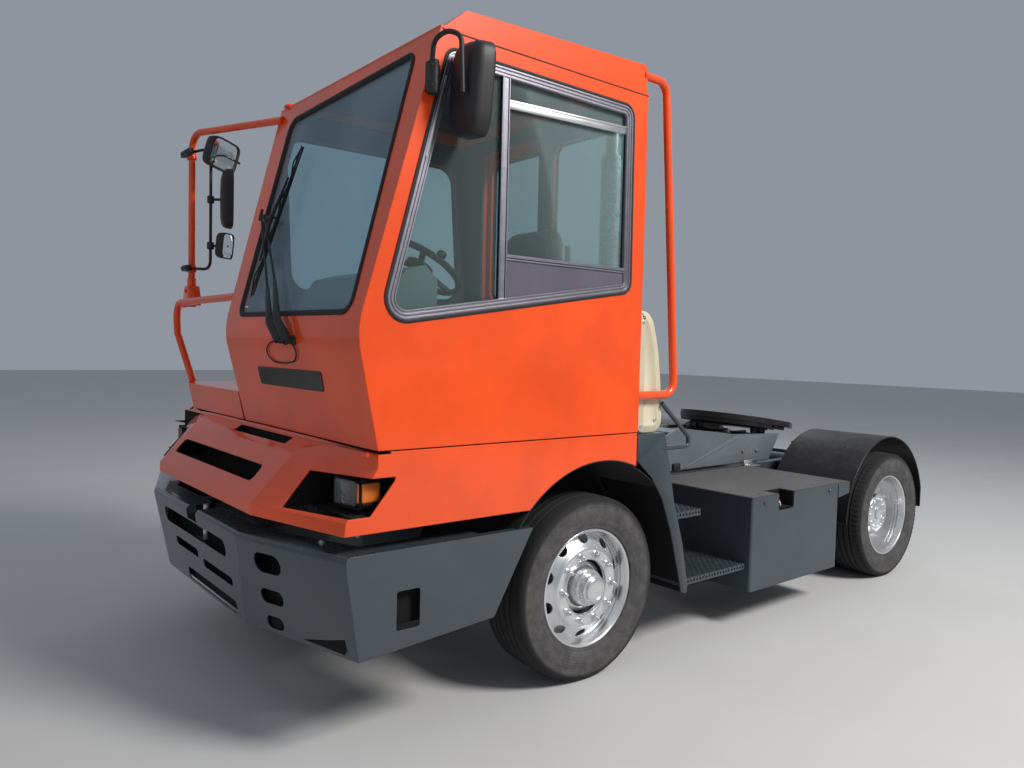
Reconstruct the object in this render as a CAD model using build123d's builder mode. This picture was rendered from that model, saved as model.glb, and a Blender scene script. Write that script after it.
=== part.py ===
"""Terminal tractor with an offset one-man cab, a lifting fifth wheel and twin rear wheels.

Millimetres, +Z up, the front towards -Y. The origin is on the ground, in the middle of the
tractor's length and of its width over the mirror. Sketch planes count X from the frame's
middle and stations along Y from the front axle.
"""
import math
import os

from build123d import *

os.makedirs("parts", exist_ok=True)

# Overall sizes
WIDTH = 2500
FRONT_OVERHANG = 1573
WHEELBASE = 3140
FRAME_OVERHANG = 410
FENDER_RADIUS = 590
FENDER_END_ANGLE = 15
MIRROR_REACH = 200
HALF_WIDTH = WIDTH / 2
REAR_REACH = FENDER_RADIUS * math.cos(math.radians(FENDER_END_ANGLE))
LENGTH = FRONT_OVERHANG + WHEELBASE + REAR_REACH
FRONT_AXLE_Y = FRONT_OVERHANG - LENGTH / 2
MID_X = -MIRROR_REACH / 2
SHEET = 5

# Wheels
TYRE_RADIUS = 463
TYRE_WIDTH = 292
TYRE_OUTER_X = 1200
TWIN_SPACING = 326
RIM_RADIUS = 298
BEAD_GAP = 0.5
WHEEL_X = TYRE_OUTER_X - TYRE_WIDTH / 2
HAND_HOLES = 10
HUB_RADIUS = 84
KINGPIN_X = 850
KINGPIN_RADIUS = 24

# Frame rails
RAIL_X = 430
RAIL_TOP = 800
RAIL_HEIGHT = 250
RAIL_FLANGE = 80
RAIL_WEB = 9
RAIL_BOTTOM = RAIL_TOP - RAIL_HEIGHT

# Bumper
BUMPER_BOTTOM = 420
BUMPER_TOP = 840
BUMPER_WALL = 6

# Lower body
BODY_BOTTOM = 920
BODY_LIP = 970
BODY_CREASE = 1172
BODY_TOP = 1224
ARCH_RADIUS = 650
BODY_REAR = 240

# Cab
CAB_BOTTOM = 1240
CAB_REAR = 245
CAB_EAVES = 2918
ROOF_FRONT_TOP = 3030
ROOF_REAR_TOP = 3075
CAB_WALL = 45
CAB_RIGHT_LOW = -150
CAB_RIGHT_HIGH = -330
DECK_TOP = 1390
FLOOR_TOP = 1310
FLOOR_THICKNESS = 16
GLASS = 6

# Running clearances
PIN_FIT = 0.05
SEAT_GAP = 0.3
FREE_GAP = 6


def side_plane(x):
    """A plane across the side of the tractor: station along, height up."""
    return Plane(origin=(MID_X + x, FRONT_AXLE_Y, 0), x_dir=(0, 1, 0), z_dir=(1, 0, 0))


def plan_plane(height):
    """A level plane: x along, station up the page."""
    return Plane(origin=(MID_X, FRONT_AXLE_Y, height), x_dir=(1, 0, 0), z_dir=(0, 0, 1))


def front_plane(station):
    """An upright plane seen from the front: x along, height up, normal to the front."""
    return Plane(origin=(MID_X, FRONT_AXLE_Y + station, 0), x_dir=(1, 0, 0), z_dir=(0, -1, 0))


MIDDLE = side_plane(0)


def save(part, node):
    part.label = node
    export_step(part, f"parts/{node}.step")


def at(x, station, height):
    """A point in the model's own frame."""
    return (MID_X + x, FRONT_AXLE_Y + station, height)


def tube(points, bend, radius):
    """A bent round tube through points given as x, station, height."""
    with BuildPart() as bent:
        with BuildLine() as path:
            FilletPolyline(*[at(*point) for point in points], radius=bend)
        with BuildSketch(Plane(origin=path.line @ 0, z_dir=path.line % 0)):
            Circle(radius)
        sweep(path=path.line)
    return bent.part


def straight(start, end, radius):
    """A straight round bar between two points given as x, station, height."""
    run = Vector(*at(*end)) - Vector(*at(*start))
    with BuildPart() as bar:
        with BuildSketch(Plane(origin=at(*start), z_dir=run)):
            Circle(radius)
        extrude(amount=run.length)
    return bar.part


def both_sides(part):
    """A part and its mirror image across the tractor's middle, as one shape."""
    return Compound([part, mirror(part, about=MIDDLE)])


# Chassis frame: two channel rails with cross tubes, a tail plate and the cab's hinge posts
FRAME_FRONT = -1440
FRAME_REAR = WHEELBASE + FRAME_OVERHANG
CROSS_STATIONS = (-1300, 620, 1250, WHEELBASE + 330)
CROSS_RADIUS = 55
CROSS_HEIGHT = RAIL_TOP - 75
BUMPER_ARM_STATION = -1290
LIFT_PIN = (1800, 620)
LIFT_PIN_RADIUS = 22
TAIL_TAPER = 110
CAB_PIVOT = (-1222, CAB_BOTTOM + 16)
CAB_PIN_RADIUS = 8
HINGE_POST_X = 380
HINGE_POST_WIDTH = 40
HINGE_EYE_RADIUS = 15
HINGE_LUG = 35
HINGE_PIN_REACH = HINGE_POST_WIDTH / 2 + HINGE_LUG + 1
HINGE_NECK = (190, -134)
BOOM_PIVOT = (1360, 930)
BOOM_PIN_RADIUS = 30
BOOM_BRACKET_X = RAIL_X - 12
BOOM_BRACKET_WIDTH = 24
BODY_ARM = (-1130, 1000)
CAB_REST_STATION = 218

with BuildPart() as chassis_frame:
    rail_reach = FRAME_REAR - FRAME_FRONT
    with BuildSketch(front_plane(FRAME_REAR)):
        for hand in (1, -1):
            with Locations((hand * (RAIL_X - RAIL_FLANGE / 2), RAIL_TOP - RAIL_HEIGHT / 2)):
                Rectangle(RAIL_FLANGE, RAIL_HEIGHT)
            with Locations((hand * (RAIL_X - RAIL_WEB - RAIL_FLANGE / 2), RAIL_TOP - RAIL_HEIGHT / 2)):
                Rectangle(RAIL_FLANGE, RAIL_HEIGHT - 2 * RAIL_WEB, mode=Mode.SUBTRACT)
    extrude(amount=rail_reach)
    with BuildSketch(side_plane(-WIDTH)):
        Polygon(
            (FRAME_REAR - 420, RAIL_BOTTOM - 1), (FRAME_REAR + 1, RAIL_BOTTOM + TAIL_TAPER),
            (FRAME_REAR + 1, RAIL_BOTTOM - 1), align=None,
        )
    extrude(amount=2 * WIDTH, mode=Mode.SUBTRACT)
    with BuildSketch(side_plane(-RAIL_X + RAIL_WEB / 2)):
        with Locations(*[(station, CROSS_HEIGHT) for station in CROSS_STATIONS]):
            Circle(CROSS_RADIUS)
        with Locations(LIFT_PIN):
            Circle(LIFT_PIN_RADIUS)
    extrude(amount=2 * RAIL_X - RAIL_WEB)
    for hand in (1, -1):
        with BuildSketch(front_plane(BUMPER_ARM_STATION)):
            with Locations((hand * (HALF_WIDTH - BUMPER_WALL + RAIL_X) / 2, RAIL_TOP - 100)):
                Rectangle(HALF_WIDTH - RAIL_X - BUMPER_WALL, 90)
        extrude(amount=40)
        with BuildSketch(front_plane(BODY_ARM[0] + 25)):
            arm_inner = RAIL_X - RAIL_FLANGE
            arm_outer = HALF_WIDTH - SHEET - SEAT_GAP
            with Locations((hand * (arm_inner + arm_outer) / 2, BODY_ARM[1])):
                Rectangle(arm_outer - arm_inner, 60)
            with Locations((hand * (RAIL_X - RAIL_FLANGE / 2), (RAIL_TOP + BODY_ARM[1]) / 2)):
                Rectangle(RAIL_FLANGE - 10, BODY_ARM[1] - RAIL_TOP)
        extrude(amount=50)
        with BuildSketch(front_plane(CAB_REST_STATION + 28)):
            with Locations((hand * (RAIL_X - RAIL_FLANGE / 2), (RAIL_TOP + CAB_BOTTOM - SEAT_GAP) / 2)):
                Rectangle(RAIL_FLANGE - 20, CAB_BOTTOM - SEAT_GAP - RAIL_TOP)
        extrude(amount=56)
    tail_height = RAIL_HEIGHT - TAIL_TAPER
    with BuildSketch(front_plane(FRAME_REAR)):
        with Locations((0, RAIL_TOP - tail_height / 2)):
            Rectangle(2 * RAIL_X, tail_height)
    extrude(amount=16)
    with BuildSketch(side_plane(HINGE_POST_X - HINGE_POST_WIDTH / 2)):
        neck = (CAB_PIVOT[0] + HINGE_NECK[0], CAB_PIVOT[1] + HINGE_NECK[1])
        Polygon(
            (CAB_PIVOT[0] - 7, CAB_PIVOT[1] - 9), (neck[0] - 30, neck[1] - 20),
            (neck[0] - 60, RAIL_TOP), (neck[0] + 60, RAIL_TOP), (neck[0] + 30, neck[1] + 10),
            (CAB_PIVOT[0] + 7, CAB_PIVOT[1] + 9), align=None,
        )
        with Locations(CAB_PIVOT):
            Circle(HINGE_EYE_RADIUS)
    posts = extrude(amount=HINGE_POST_WIDTH)
    mirror(posts, about=MIDDLE)
    with BuildSketch(side_plane(HINGE_POST_X - HINGE_PIN_REACH)):
        with Locations(CAB_PIVOT):
            Circle(CAB_PIN_RADIUS)
    pins = extrude(amount=2 * HINGE_PIN_REACH)
    mirror(pins, about=MIDDLE)
    with BuildSketch(side_plane(BOOM_BRACKET_X - BOOM_BRACKET_WIDTH / 2)):
        Polygon(
            (BOOM_PIVOT[0] - 130, RAIL_TOP), (BOOM_PIVOT[0] + 130, RAIL_TOP),
            (BOOM_PIVOT[0] + 60, BOOM_PIVOT[1] + 20), (BOOM_PIVOT[0] - 60, BOOM_PIVOT[1] + 20),
            align=None,
        )
        with Locations(BOOM_PIVOT):
            Circle(62)
            Circle(BOOM_PIN_RADIUS + PIN_FIT, mode=Mode.SUBTRACT)
    brackets = extrude(amount=BOOM_BRACKET_WIDTH)
    mirror(brackets, about=MIDDLE)
save(chassis_frame.part, "chassis_frame")


def nose_section(front, side, corner, inset, rear, right_back=0):
    """Corner points of the nose in plan: flat middle, swept corners, straight sides."""
    half = HALF_WIDTH - inset
    return [
        (-half, rear), (-half, side + right_back + inset), (-corner, front + inset),
        (corner, front + inset), (half, side + inset), (half, rear),
    ]


def nose_loft(levels, inset, rear, right_back=0):
    """The nose's body between levels of (height, front, side, corner)."""
    with BuildPart() as nose:
        for low, high in zip(levels, levels[1:]):
            for height, front, side, corner in (low, high):
                with BuildSketch(plan_plane(height)):
                    Polygon(*nose_section(front, side, corner, inset, rear, right_back), align=None)
            loft()
    return nose.part


# Front bumper: folded plate, open behind and below
# The rounded top edge stands back from the sharp corner, which is moved forward to suit
BUMPER_FOLD = 24
BUMPER_UNDERCUT = 73
BUMPER_LEAN = math.atan(BUMPER_UNDERCUT / (BUMPER_TOP - BUMPER_BOTTOM))
BUMPER_FRONT = -FRONT_OVERHANG - BUMPER_FOLD * (math.tan(BUMPER_LEAN) + 1 / math.cos(BUMPER_LEAN) - 1)
# Levels are height, station of the flat front, station of the side corner, half-width of the flat
BUMPER_LEVELS = (
    (BUMPER_BOTTOM, BUMPER_FRONT + BUMPER_UNDERCUT, -1315, 570), (BUMPER_TOP, BUMPER_FRONT, -1382, 635),
)
BUMPER_REAR_TOP = -443
BUMPER_REAR_LOW = (-655, 469)
BUMPER_LEDGE = 130
BUMPER_LEDGE_REAR = -720
BUMPER_FLANGE = 40
# Slots through the front: x of the centre, height, width, tall
FRONT_SLOTS = (
    (0, 730, 925, 80), (-157, 610, 355, 44), (285, 582, 400, 42), (140, 465, 700, 62),
)
# Slots through the swept corners, as distances along x on each side
CORNER_SLOTS = ((800, 735, 160, 86), (790, 587, 140, 64), (780, 470, 106, 56))
TOW_NOTCH = (14, 138)
SIDE_HOLE = (-1095, 590, 110, 160)

with BuildPart() as front_bumper:
    add(nose_loft(BUMPER_LEVELS, 0, BUMPER_REAR_TOP))
    top_front = front_bumper.faces().sort_by(Axis.Z)[-1].edges().sort_by(Axis.Y)[0:3]
    fillet(top_front, BUMPER_FOLD)
    inner_levels = [
        (height - BUMPER_WALL if height == BUMPER_TOP else height - 1, front, side, corner)
        for height, front, side, corner in BUMPER_LEVELS
    ]
    add(nose_loft(inner_levels, BUMPER_WALL, BUMPER_REAR_TOP + 1), mode=Mode.SUBTRACT)
    with BuildSketch(plan_plane(BUMPER_TOP - 2 * BUMPER_WALL)):
        Polygon(
            *nose_section(BUMPER_LEVELS[1][1], BUMPER_LEVELS[1][2], BUMPER_LEVELS[1][3],
                          BUMPER_LEDGE, BUMPER_REAR_TOP + 1),
            align=None,
        )
    extrude(amount=3 * BUMPER_WALL, mode=Mode.SUBTRACT)
    with BuildSketch(plan_plane(BUMPER_TOP - 2 * BUMPER_WALL)):
        with Locations((0, (BUMPER_LEDGE_REAR + BUMPER_REAR_TOP) / 2)):
            Rectangle(WIDTH - 2 * BUMPER_FLANGE, BUMPER_REAR_TOP - BUMPER_LEDGE_REAR + 2)
    extrude(amount=3 * BUMPER_WALL, mode=Mode.SUBTRACT)
    with BuildSketch(side_plane(-WIDTH)):
        Polygon(
            (BUMPER_REAR_TOP + 1, BUMPER_TOP + 1), (BUMPER_REAR_TOP, BUMPER_TOP - 4), BUMPER_REAR_LOW,
            (-1315, BUMPER_BOTTOM), (-1315, BUMPER_BOTTOM - 9), (BUMPER_REAR_TOP + 1, BUMPER_BOTTOM - 9),
            align=None,
        )
    extrude(amount=2 * WIDTH, mode=Mode.SUBTRACT)
    with BuildSketch(front_plane(-1200)):
        for x, height, width, tall in FRONT_SLOTS:
            with Locations((x, height)):
                SlotOverall(width, tall)
        for x, height, width, tall in CORNER_SLOTS:
            with Locations((x, height), (-x, height)):
                SlotOverall(width, tall)
        with Locations((TOW_NOTCH[0], BUMPER_TOP)):
            Rectangle(TOW_NOTCH[1], 2 * 62)
    extrude(amount=500, mode=Mode.SUBTRACT)
    with BuildSketch(side_plane(-WIDTH)):
        with Locations(SIDE_HOLE[0:2]):
            RectangleRounded(SIDE_HOLE[2], SIDE_HOLE[3], 12)
    extrude(amount=2 * WIDTH, mode=Mode.SUBTRACT)
save(front_bumper.part, "front_bumper")

# Tow pin in a jaw that stands on the frame's front beam, behind the notch
TOW_PIN_RADIUS = 16
TOW_PIN_STATION = -FRONT_OVERHANG + 76

with BuildPart() as front_beam:
    beam_front = FRAME_FRONT - 40
    with BuildSketch(plan_plane(RAIL_BOTTOM + 20)):
        with Locations((0, (beam_front + FRAME_FRONT) / 2)):
            Rectangle(2 * RAIL_X, FRAME_FRONT - beam_front)
    extrude(amount=RAIL_HEIGHT - 40)
    with BuildSketch(side_plane(TOW_NOTCH[0] - 50)):
        Polygon(
            (beam_front, 600), (TOW_PIN_STATION - 28, 660), (TOW_PIN_STATION - 28, 760),
            (beam_front, 770), align=None,
        )
    extrude(amount=100)
    with BuildSketch(side_plane(TOW_NOTCH[0] - 51)):
        with Locations((TOW_PIN_STATION - 4, 710)):
            Rectangle(90, 50)
    extrude(amount=102, mode=Mode.SUBTRACT)
    with BuildSketch(plan_plane(500)):
        with Locations((TOW_NOTCH[0], TOW_PIN_STATION)):
            Circle(TOW_PIN_RADIUS + PIN_FIT)
    extrude(amount=400, mode=Mode.SUBTRACT)
save(front_beam.part, "front_beam")

with BuildPart() as tow_pin:
    with BuildSketch(plan_plane(640)):
        with Locations((TOW_NOTCH[0], TOW_PIN_STATION)):
            Circle(TOW_PIN_RADIUS)
    extrude(amount=210)
    with BuildSketch(plan_plane(RAIL_TOP - 20 + SEAT_GAP)):
        with Locations((TOW_NOTCH[0], TOW_PIN_STATION)):
            Circle(TOW_PIN_RADIUS + 12)
    extrude(amount=14)
save(tow_pin.part, "tow_pin")

# Lower body: sloping nose with the front wings, open behind
BODY_LEVELS = (
    (BODY_BOTTOM, -1530, -1385, 680), (BODY_LIP, -1530, -1380, 680),
    (BODY_CREASE, -1345, -1245, 684), (BODY_TOP, -1262, -1245, 684),
)
BODY_RIGHT_BACK = 60
INTAKE = (-48, 1068, 1130, 66)
TOP_SLOT = (190, 1205, 650, 26)
# Lamp pocket: x and height across the swept corner, then station and height along the side
LAMP_ACROSS = ((868, 980), (871, 1123), (HALF_WIDTH - SHEET, 1134), (HALF_WIDTH - SHEET, 986))
LAMP_ALONG = ((-1400, 986), (-1275, 986), (-1168, 1117), (-1164, 1134), (-1400, 1134))
ARCH_CENTRE = (0, TYRE_RADIUS)

with BuildPart() as lower_body:
    add(nose_loft(BODY_LEVELS, 0, BODY_REAR, BODY_RIGHT_BACK))
    inner_levels = [
        (BODY_BOTTOM - 1, *BODY_LEVELS[0][1:]), *BODY_LEVELS[1:-1], (BODY_TOP + 1, *BODY_LEVELS[-1][1:]),
    ]
    add(nose_loft(inner_levels, SHEET, BODY_REAR + 1, BODY_RIGHT_BACK), mode=Mode.SUBTRACT)
    with BuildSketch(side_plane(-WIDTH)):
        with Locations(ARCH_CENTRE):
            Circle(ARCH_RADIUS)
    extrude(amount=2 * WIDTH, mode=Mode.SUBTRACT)
    with BuildSketch(front_plane(-1200)):
        with Locations(INTAKE[0:2]):
            RectangleRounded(INTAKE[2], INTAKE[3], 25)
        with Locations(TOP_SLOT[0:2]):
            Rectangle(TOP_SLOT[2], TOP_SLOT[3])
        for hand in (1, -1):
            Polygon(*[(hand * x, height) for x, height in LAMP_ACROSS], align=None)
    extrude(amount=500, mode=Mode.SUBTRACT)
    for low in (HALF_WIDTH - 2 * SHEET, -HALF_WIDTH - SHEET):
        with BuildSketch(side_plane(low)):
            Polygon(*LAMP_ALONG, align=None)
        extrude(amount=3 * SHEET, mode=Mode.SUBTRACT)
save(lower_body.part, "lower_body")

# Headlamps: a lamp block behind each pocket, on a bracket from the body's arm
LAMP_BLOCK = (160, 120, 112)
LAMP_PLACE = (1088, -1240, 1061)
LAMP_TURN = 10
LAMP_BRACKET = (50, 60)
LAMP_BRACKET_DROP = 46

with BuildPart() as headlamp:
    with BuildSketch(Plane(
        origin=(MID_X + LAMP_PLACE[0], FRONT_AXLE_Y + LAMP_PLACE[1], LAMP_PLACE[2]),
        x_dir=(math.cos(math.radians(LAMP_TURN)), math.sin(math.radians(LAMP_TURN)), 0),
        z_dir=(math.sin(math.radians(LAMP_TURN)), -math.cos(math.radians(LAMP_TURN)), 0),
    )):
        RectangleRounded(LAMP_BLOCK[0], LAMP_BLOCK[2], 14)
    extrude(amount=LAMP_BLOCK[1] / 2, both=True)
    chamfer(headlamp.faces().sort_by(Axis.Y)[-1].edges(), 12)
    bracket_rear = BODY_ARM[0] - 25 - SEAT_GAP
    with BuildSketch(front_plane(bracket_rear)):
        with Locations((LAMP_PLACE[0], LAMP_PLACE[2] - LAMP_BRACKET_DROP)):
            Rectangle(*LAMP_BRACKET)
    extrude(amount=bracket_rear - LAMP_PLACE[1])
save(both_sides(headlamp.part), "headlamps")

# Arch liners: a curved sheet over each front wheel
LINER_WALL = 5
LINER_FOOT = 120
LINER_INNER_X = 720
PLATE_X = 1216

with BuildPart() as arch_liner:
    with BuildSketch(side_plane(LINER_INNER_X)):
        with Locations(ARCH_CENTRE):
            Circle(ARCH_RADIUS - SEAT_GAP)
            Circle(ARCH_RADIUS - LINER_WALL, mode=Mode.SUBTRACT)
            with Locations((0, LINER_FOOT - ARCH_RADIUS)):
                Rectangle(3 * ARCH_RADIUS, 2 * ARCH_RADIUS, mode=Mode.SUBTRACT)
    extrude(amount=HALF_WIDTH - LINER_INNER_X)
    with BuildSketch(side_plane(PLATE_X - SEAT_GAP)):
        with Locations((BODY_REAR + ARCH_RADIUS, TYRE_RADIUS)):
            Rectangle(2 * ARCH_RADIUS, 3 * ARCH_RADIUS)
    extrude(amount=WIDTH, mode=Mode.SUBTRACT)
    with BuildSketch(side_plane(HALF_WIDTH - BUMPER_FLANGE - SEAT_GAP)):
        with Locations((-ARCH_RADIUS, BUMPER_TOP + SEAT_GAP - ARCH_RADIUS)):
            Rectangle(2 * ARCH_RADIUS, 2 * ARCH_RADIUS)
    extrude(amount=WIDTH, mode=Mode.SUBTRACT)
save(both_sides(arch_liner.part), "arch_liners")

# Cab shell: front panel, screen surround and both sides as one hollow shell
CREST = (-1346, 1706)
CREST_RADIUS = 350
EAVES_FRONT = (-993, CAB_EAVES)
FOOT_FRONT = (-1245, CAB_BOTTOM)
SCREEN_CORNERS = ((-43, 1785), (1155, 1777), (1093, 2860), (-122, 2822))
SCREEN_RADIUS = 60
SIDE_CORNERS = ((-1254, 1728), (153, 1942), (141, 2842), (-953, 2847))
SIDE_RADII = (90, 60, 60, 50)
RIGHT_WINDOW = (-420, 2360, 1130, 860)
RIGHT_WINDOW_RADIUS = 110


def wall_profile(inset, rear, low, high):
    """The cab's side outline, its front moved back by the inset."""
    with BuildSketch() as outline:
        Polygon(
            (FOOT_FRONT[0] + inset, low), (CREST[0] + inset, CREST[1]),
            (EAVES_FRONT[0] + inset, EAVES_FRONT[1]), (EAVES_FRONT[0] + inset, high), (rear, high),
            (rear, low), align=None,
        )
        fillet(outline.vertices().sort_by(Axis.X)[0], CREST_RADIUS)
    return outline.sketch


def right_edge(height):
    """X of the right wall's outer face, which leans out towards the roof."""
    share = (height - CAB_BOTTOM) / (CAB_EAVES - CAB_BOTTOM)
    return CAB_RIGHT_LOW + share * (CAB_RIGHT_HIGH - CAB_RIGHT_LOW)


def cab_block(inset, rear, low, high):
    """The cab's volume between two heights, its front and sides moved in by the inset."""
    with BuildPart() as block:
        with BuildSketch(side_plane(-WIDTH)):
            add(wall_profile(inset, rear, low, high))
        extrude(amount=2 * WIDTH)
        with BuildSketch(front_plane(CAB_REAR + 200)):
            Polygon(
                (right_edge(low) + inset, low), (HALF_WIDTH - inset, low),
                (HALF_WIDTH - inset, high), (right_edge(high) + inset, high), align=None,
            )
        extrude(amount=LENGTH, mode=Mode.INTERSECT)
    return block.part


def rounded_outline(corners, radii, inset=0):
    """A closed outline with rounded corners, moved in by the inset."""
    with BuildSketch() as outline:
        Polygon(*corners, align=None)
        for corner, radius in zip(corners, radii):
            fillet(outline.vertices().sort_by_distance((*corner, 0))[0], radius)
        if inset:
            offset(amount=-inset, kind=Kind.INTERSECTION, mode=Mode.REPLACE)
    return outline.sketch


def hinge_lugs(x):
    """The two bored lugs that stand beside a hinge post at x, joined to the wall before it."""
    with BuildPart() as lugs:
        for low in (x - HINGE_PIN_REACH, x + HINGE_POST_WIDTH / 2 + 1):
            with BuildSketch(side_plane(low)):
                with Locations(CAB_PIVOT):
                    Circle(HINGE_EYE_RADIUS)
                with Locations((CAB_PIVOT[0] - 11, CAB_PIVOT[1])):
                    Rectangle(22, 2 * HINGE_EYE_RADIUS)
                with Locations(CAB_PIVOT):
                    Circle(CAB_PIN_RADIUS + PIN_FIT, mode=Mode.SUBTRACT)
            extrude(amount=HINGE_LUG)
    return lugs.part


with BuildPart() as cab_shell:
    add(cab_block(0, CAB_REAR, CAB_BOTTOM, CAB_EAVES))
    add(cab_block(CAB_WALL, CAB_REAR + 1, CAB_BOTTOM - 1, CAB_EAVES + 1), mode=Mode.SUBTRACT)
    with BuildSketch(front_plane(-900)):
        add(rounded_outline(SCREEN_CORNERS, [SCREEN_RADIUS] * 4))
    extrude(amount=600, mode=Mode.SUBTRACT)
    with BuildSketch(side_plane(HALF_WIDTH - 2 * CAB_WALL)):
        add(rounded_outline(SIDE_CORNERS, SIDE_RADII))
    extrude(amount=3 * CAB_WALL, mode=Mode.SUBTRACT)
    with BuildSketch(side_plane(CAB_RIGHT_HIGH - CAB_WALL)):
        with Locations(RIGHT_WINDOW[0:2]):
            RectangleRounded(RIGHT_WINDOW[2], RIGHT_WINDOW[3], RIGHT_WINDOW_RADIUS)
    extrude(amount=CAB_RIGHT_LOW - CAB_RIGHT_HIGH + 3 * CAB_WALL, mode=Mode.SUBTRACT)
    with BuildSketch(side_plane(HINGE_POST_X - HINGE_POST_WIDTH / 2 - FREE_GAP)):
        with Locations((CAB_PIVOT[0] - HINGE_EYE_RADIUS - 2 + CAB_WALL / 2, CAB_BOTTOM)):
            Rectangle(CAB_WALL, 2 * 46)
    extrude(amount=HINGE_POST_WIDTH + 2 * FREE_GAP, mode=Mode.SUBTRACT)
    add(hinge_lugs(HINGE_POST_X))
    with BuildSketch(side_plane(HINGE_POST_X - HINGE_PIN_REACH - SHEET)):
        with Locations(CAB_PIVOT):
            Circle(CAB_PIN_RADIUS + PIN_FIT)
    extrude(amount=2 * (HINGE_PIN_REACH + SHEET), mode=Mode.SUBTRACT)
save(cab_shell.part, "cab_shell")

# Right deck: a folded cover level with the cab's foot, its outer front corner swept, open below
DECK_SLOPE = (CREST[0] - FOOT_FRONT[0]) / (CREST[1] - FOOT_FRONT[1])
DECK_INNER_X = CAB_RIGHT_LOW - 30
DECK_RIDGE_X = -1020
DECK_SWEEP = 70


def deck_block(inset):
    """The right deck's volume, its faces moved in by the inset."""
    with BuildPart() as block:
        for height in (CAB_BOTTOM, DECK_TOP):
            front = FOOT_FRONT[0] + DECK_SLOPE * (height - CAB_BOTTOM) + inset
            with BuildSketch(plan_plane(height - inset)):
                Polygon(
                    (-HALF_WIDTH + inset, front + DECK_SWEEP), (DECK_RIDGE_X, front),
                    (DECK_INNER_X - inset, front), (DECK_INNER_X - inset, CAB_REAR - inset),
                    (-HALF_WIDTH + inset, CAB_REAR - inset), align=None,
                )
        loft()
    return block.part


with BuildPart() as right_deck:
    add(deck_block(0))
    add(deck_block(SHEET), mode=Mode.SUBTRACT)
    fillet(right_deck.edges().filter_by(Axis.X).group_by(Axis.Z)[-1], 4)
    add(hinge_lugs(-HINGE_POST_X))
save(right_deck.part, "right_deck")

# Cab roof: a shallow cap with a gutter lip, hollow below
ROOF_EDGE = 24
ROOF_WALL = 30
ROOF_REAR = CAB_REAR + 5
ROOF_LIP = 7


def roof_block(inset, low):
    with BuildPart() as block:
        with BuildSketch(front_plane(ROOF_REAR - inset)):
            Polygon(
                (CAB_RIGHT_HIGH + inset, low), (HALF_WIDTH - inset, low),
                (HALF_WIDTH - inset, ROOF_REAR_TOP + 1), (CAB_RIGHT_HIGH + inset, ROOF_REAR_TOP + 1),
                align=None,
            )
        extrude(amount=LENGTH)
        with BuildSketch(side_plane(-WIDTH)):
            Polygon(
                (EAVES_FRONT[0] + inset, low), (EAVES_FRONT[0] + inset, CAB_EAVES),
                (EAVES_FRONT[0] + 124 + inset, ROOF_FRONT_TOP - inset),
                (ROOF_REAR + 1, ROOF_REAR_TOP - inset), (ROOF_REAR + 1, low), align=None,
            )
        extrude(amount=2 * WIDTH, mode=Mode.INTERSECT)
    return block.part


with BuildPart() as cab_roof:
    add(roof_block(ROOF_LIP, CAB_EAVES))
    fillet(cab_roof.edges().filter_by(Axis.Y, reverse=True).group_by(Axis.Z)[-1], ROOF_EDGE)
    with BuildSketch(plan_plane(CAB_EAVES)):
        lip_length = ROOF_REAR - EAVES_FRONT[0]
        with Locations(((HALF_WIDTH + CAB_RIGHT_HIGH) / 2, ROOF_REAR - lip_length / 2)):
            Rectangle(HALF_WIDTH - CAB_RIGHT_HIGH, lip_length)
    extrude(amount=12)
    add(roof_block(ROOF_WALL + CAB_WALL, CAB_EAVES - 1), mode=Mode.SUBTRACT)
save(cab_roof.part, "cab_roof")

# Rear wall with the door opening, a fixed window and the door's two runners
DOOR_OPENING = (210, 2090, 540, 1520)
REAR_WINDOW = (870, 2360, 560, 860)
REAR_WINDOW_RADIUS = 70
DOOR_WIDTH = 610
DOOR_LOW = 1300
DOOR_HIGH = 2880
DOOR_THICKNESS = 30
DOOR_GAP = 8
RUNNER_DEPTH = 44
RUNNER_HEIGHT = 20
RUNNER_SPAN = (-120, 1140)
DOOR_TRAVEL = 560

with BuildPart() as cab_rear_wall:
    add(cab_block(CAB_WALL + SEAT_GAP, CAB_REAR, CAB_BOTTOM, CAB_EAVES))
    with BuildSketch(front_plane(CAB_REAR - CAB_WALL)):
        with Locations((HALF_WIDTH / 2, (CAB_BOTTOM + CAB_EAVES) / 2)):
            Rectangle(2 * WIDTH, WIDTH)
    extrude(amount=LENGTH, mode=Mode.SUBTRACT)
    with BuildSketch(front_plane(CAB_REAR + 1)):
        with Locations(DOOR_OPENING[0:2]):
            RectangleRounded(DOOR_OPENING[2], DOOR_OPENING[3], 40)
        with Locations(REAR_WINDOW[0:2]):
            RectangleRounded(REAR_WINDOW[2], REAR_WINDOW[3], REAR_WINDOW_RADIUS)
    extrude(amount=CAB_WALL + 2, mode=Mode.SUBTRACT)
    with BuildSketch(front_plane(CAB_REAR)):
        for height in (DOOR_LOW - SEAT_GAP - RUNNER_HEIGHT / 2, DOOR_HIGH + SEAT_GAP + RUNNER_HEIGHT / 2):
            with Locations(((RUNNER_SPAN[0] + RUNNER_SPAN[1]) / 2, height)):
                Rectangle(RUNNER_SPAN[1] - RUNNER_SPAN[0], RUNNER_HEIGHT)
    extrude(amount=-RUNNER_DEPTH)
save(cab_rear_wall.part, "cab_rear_wall")

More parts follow.
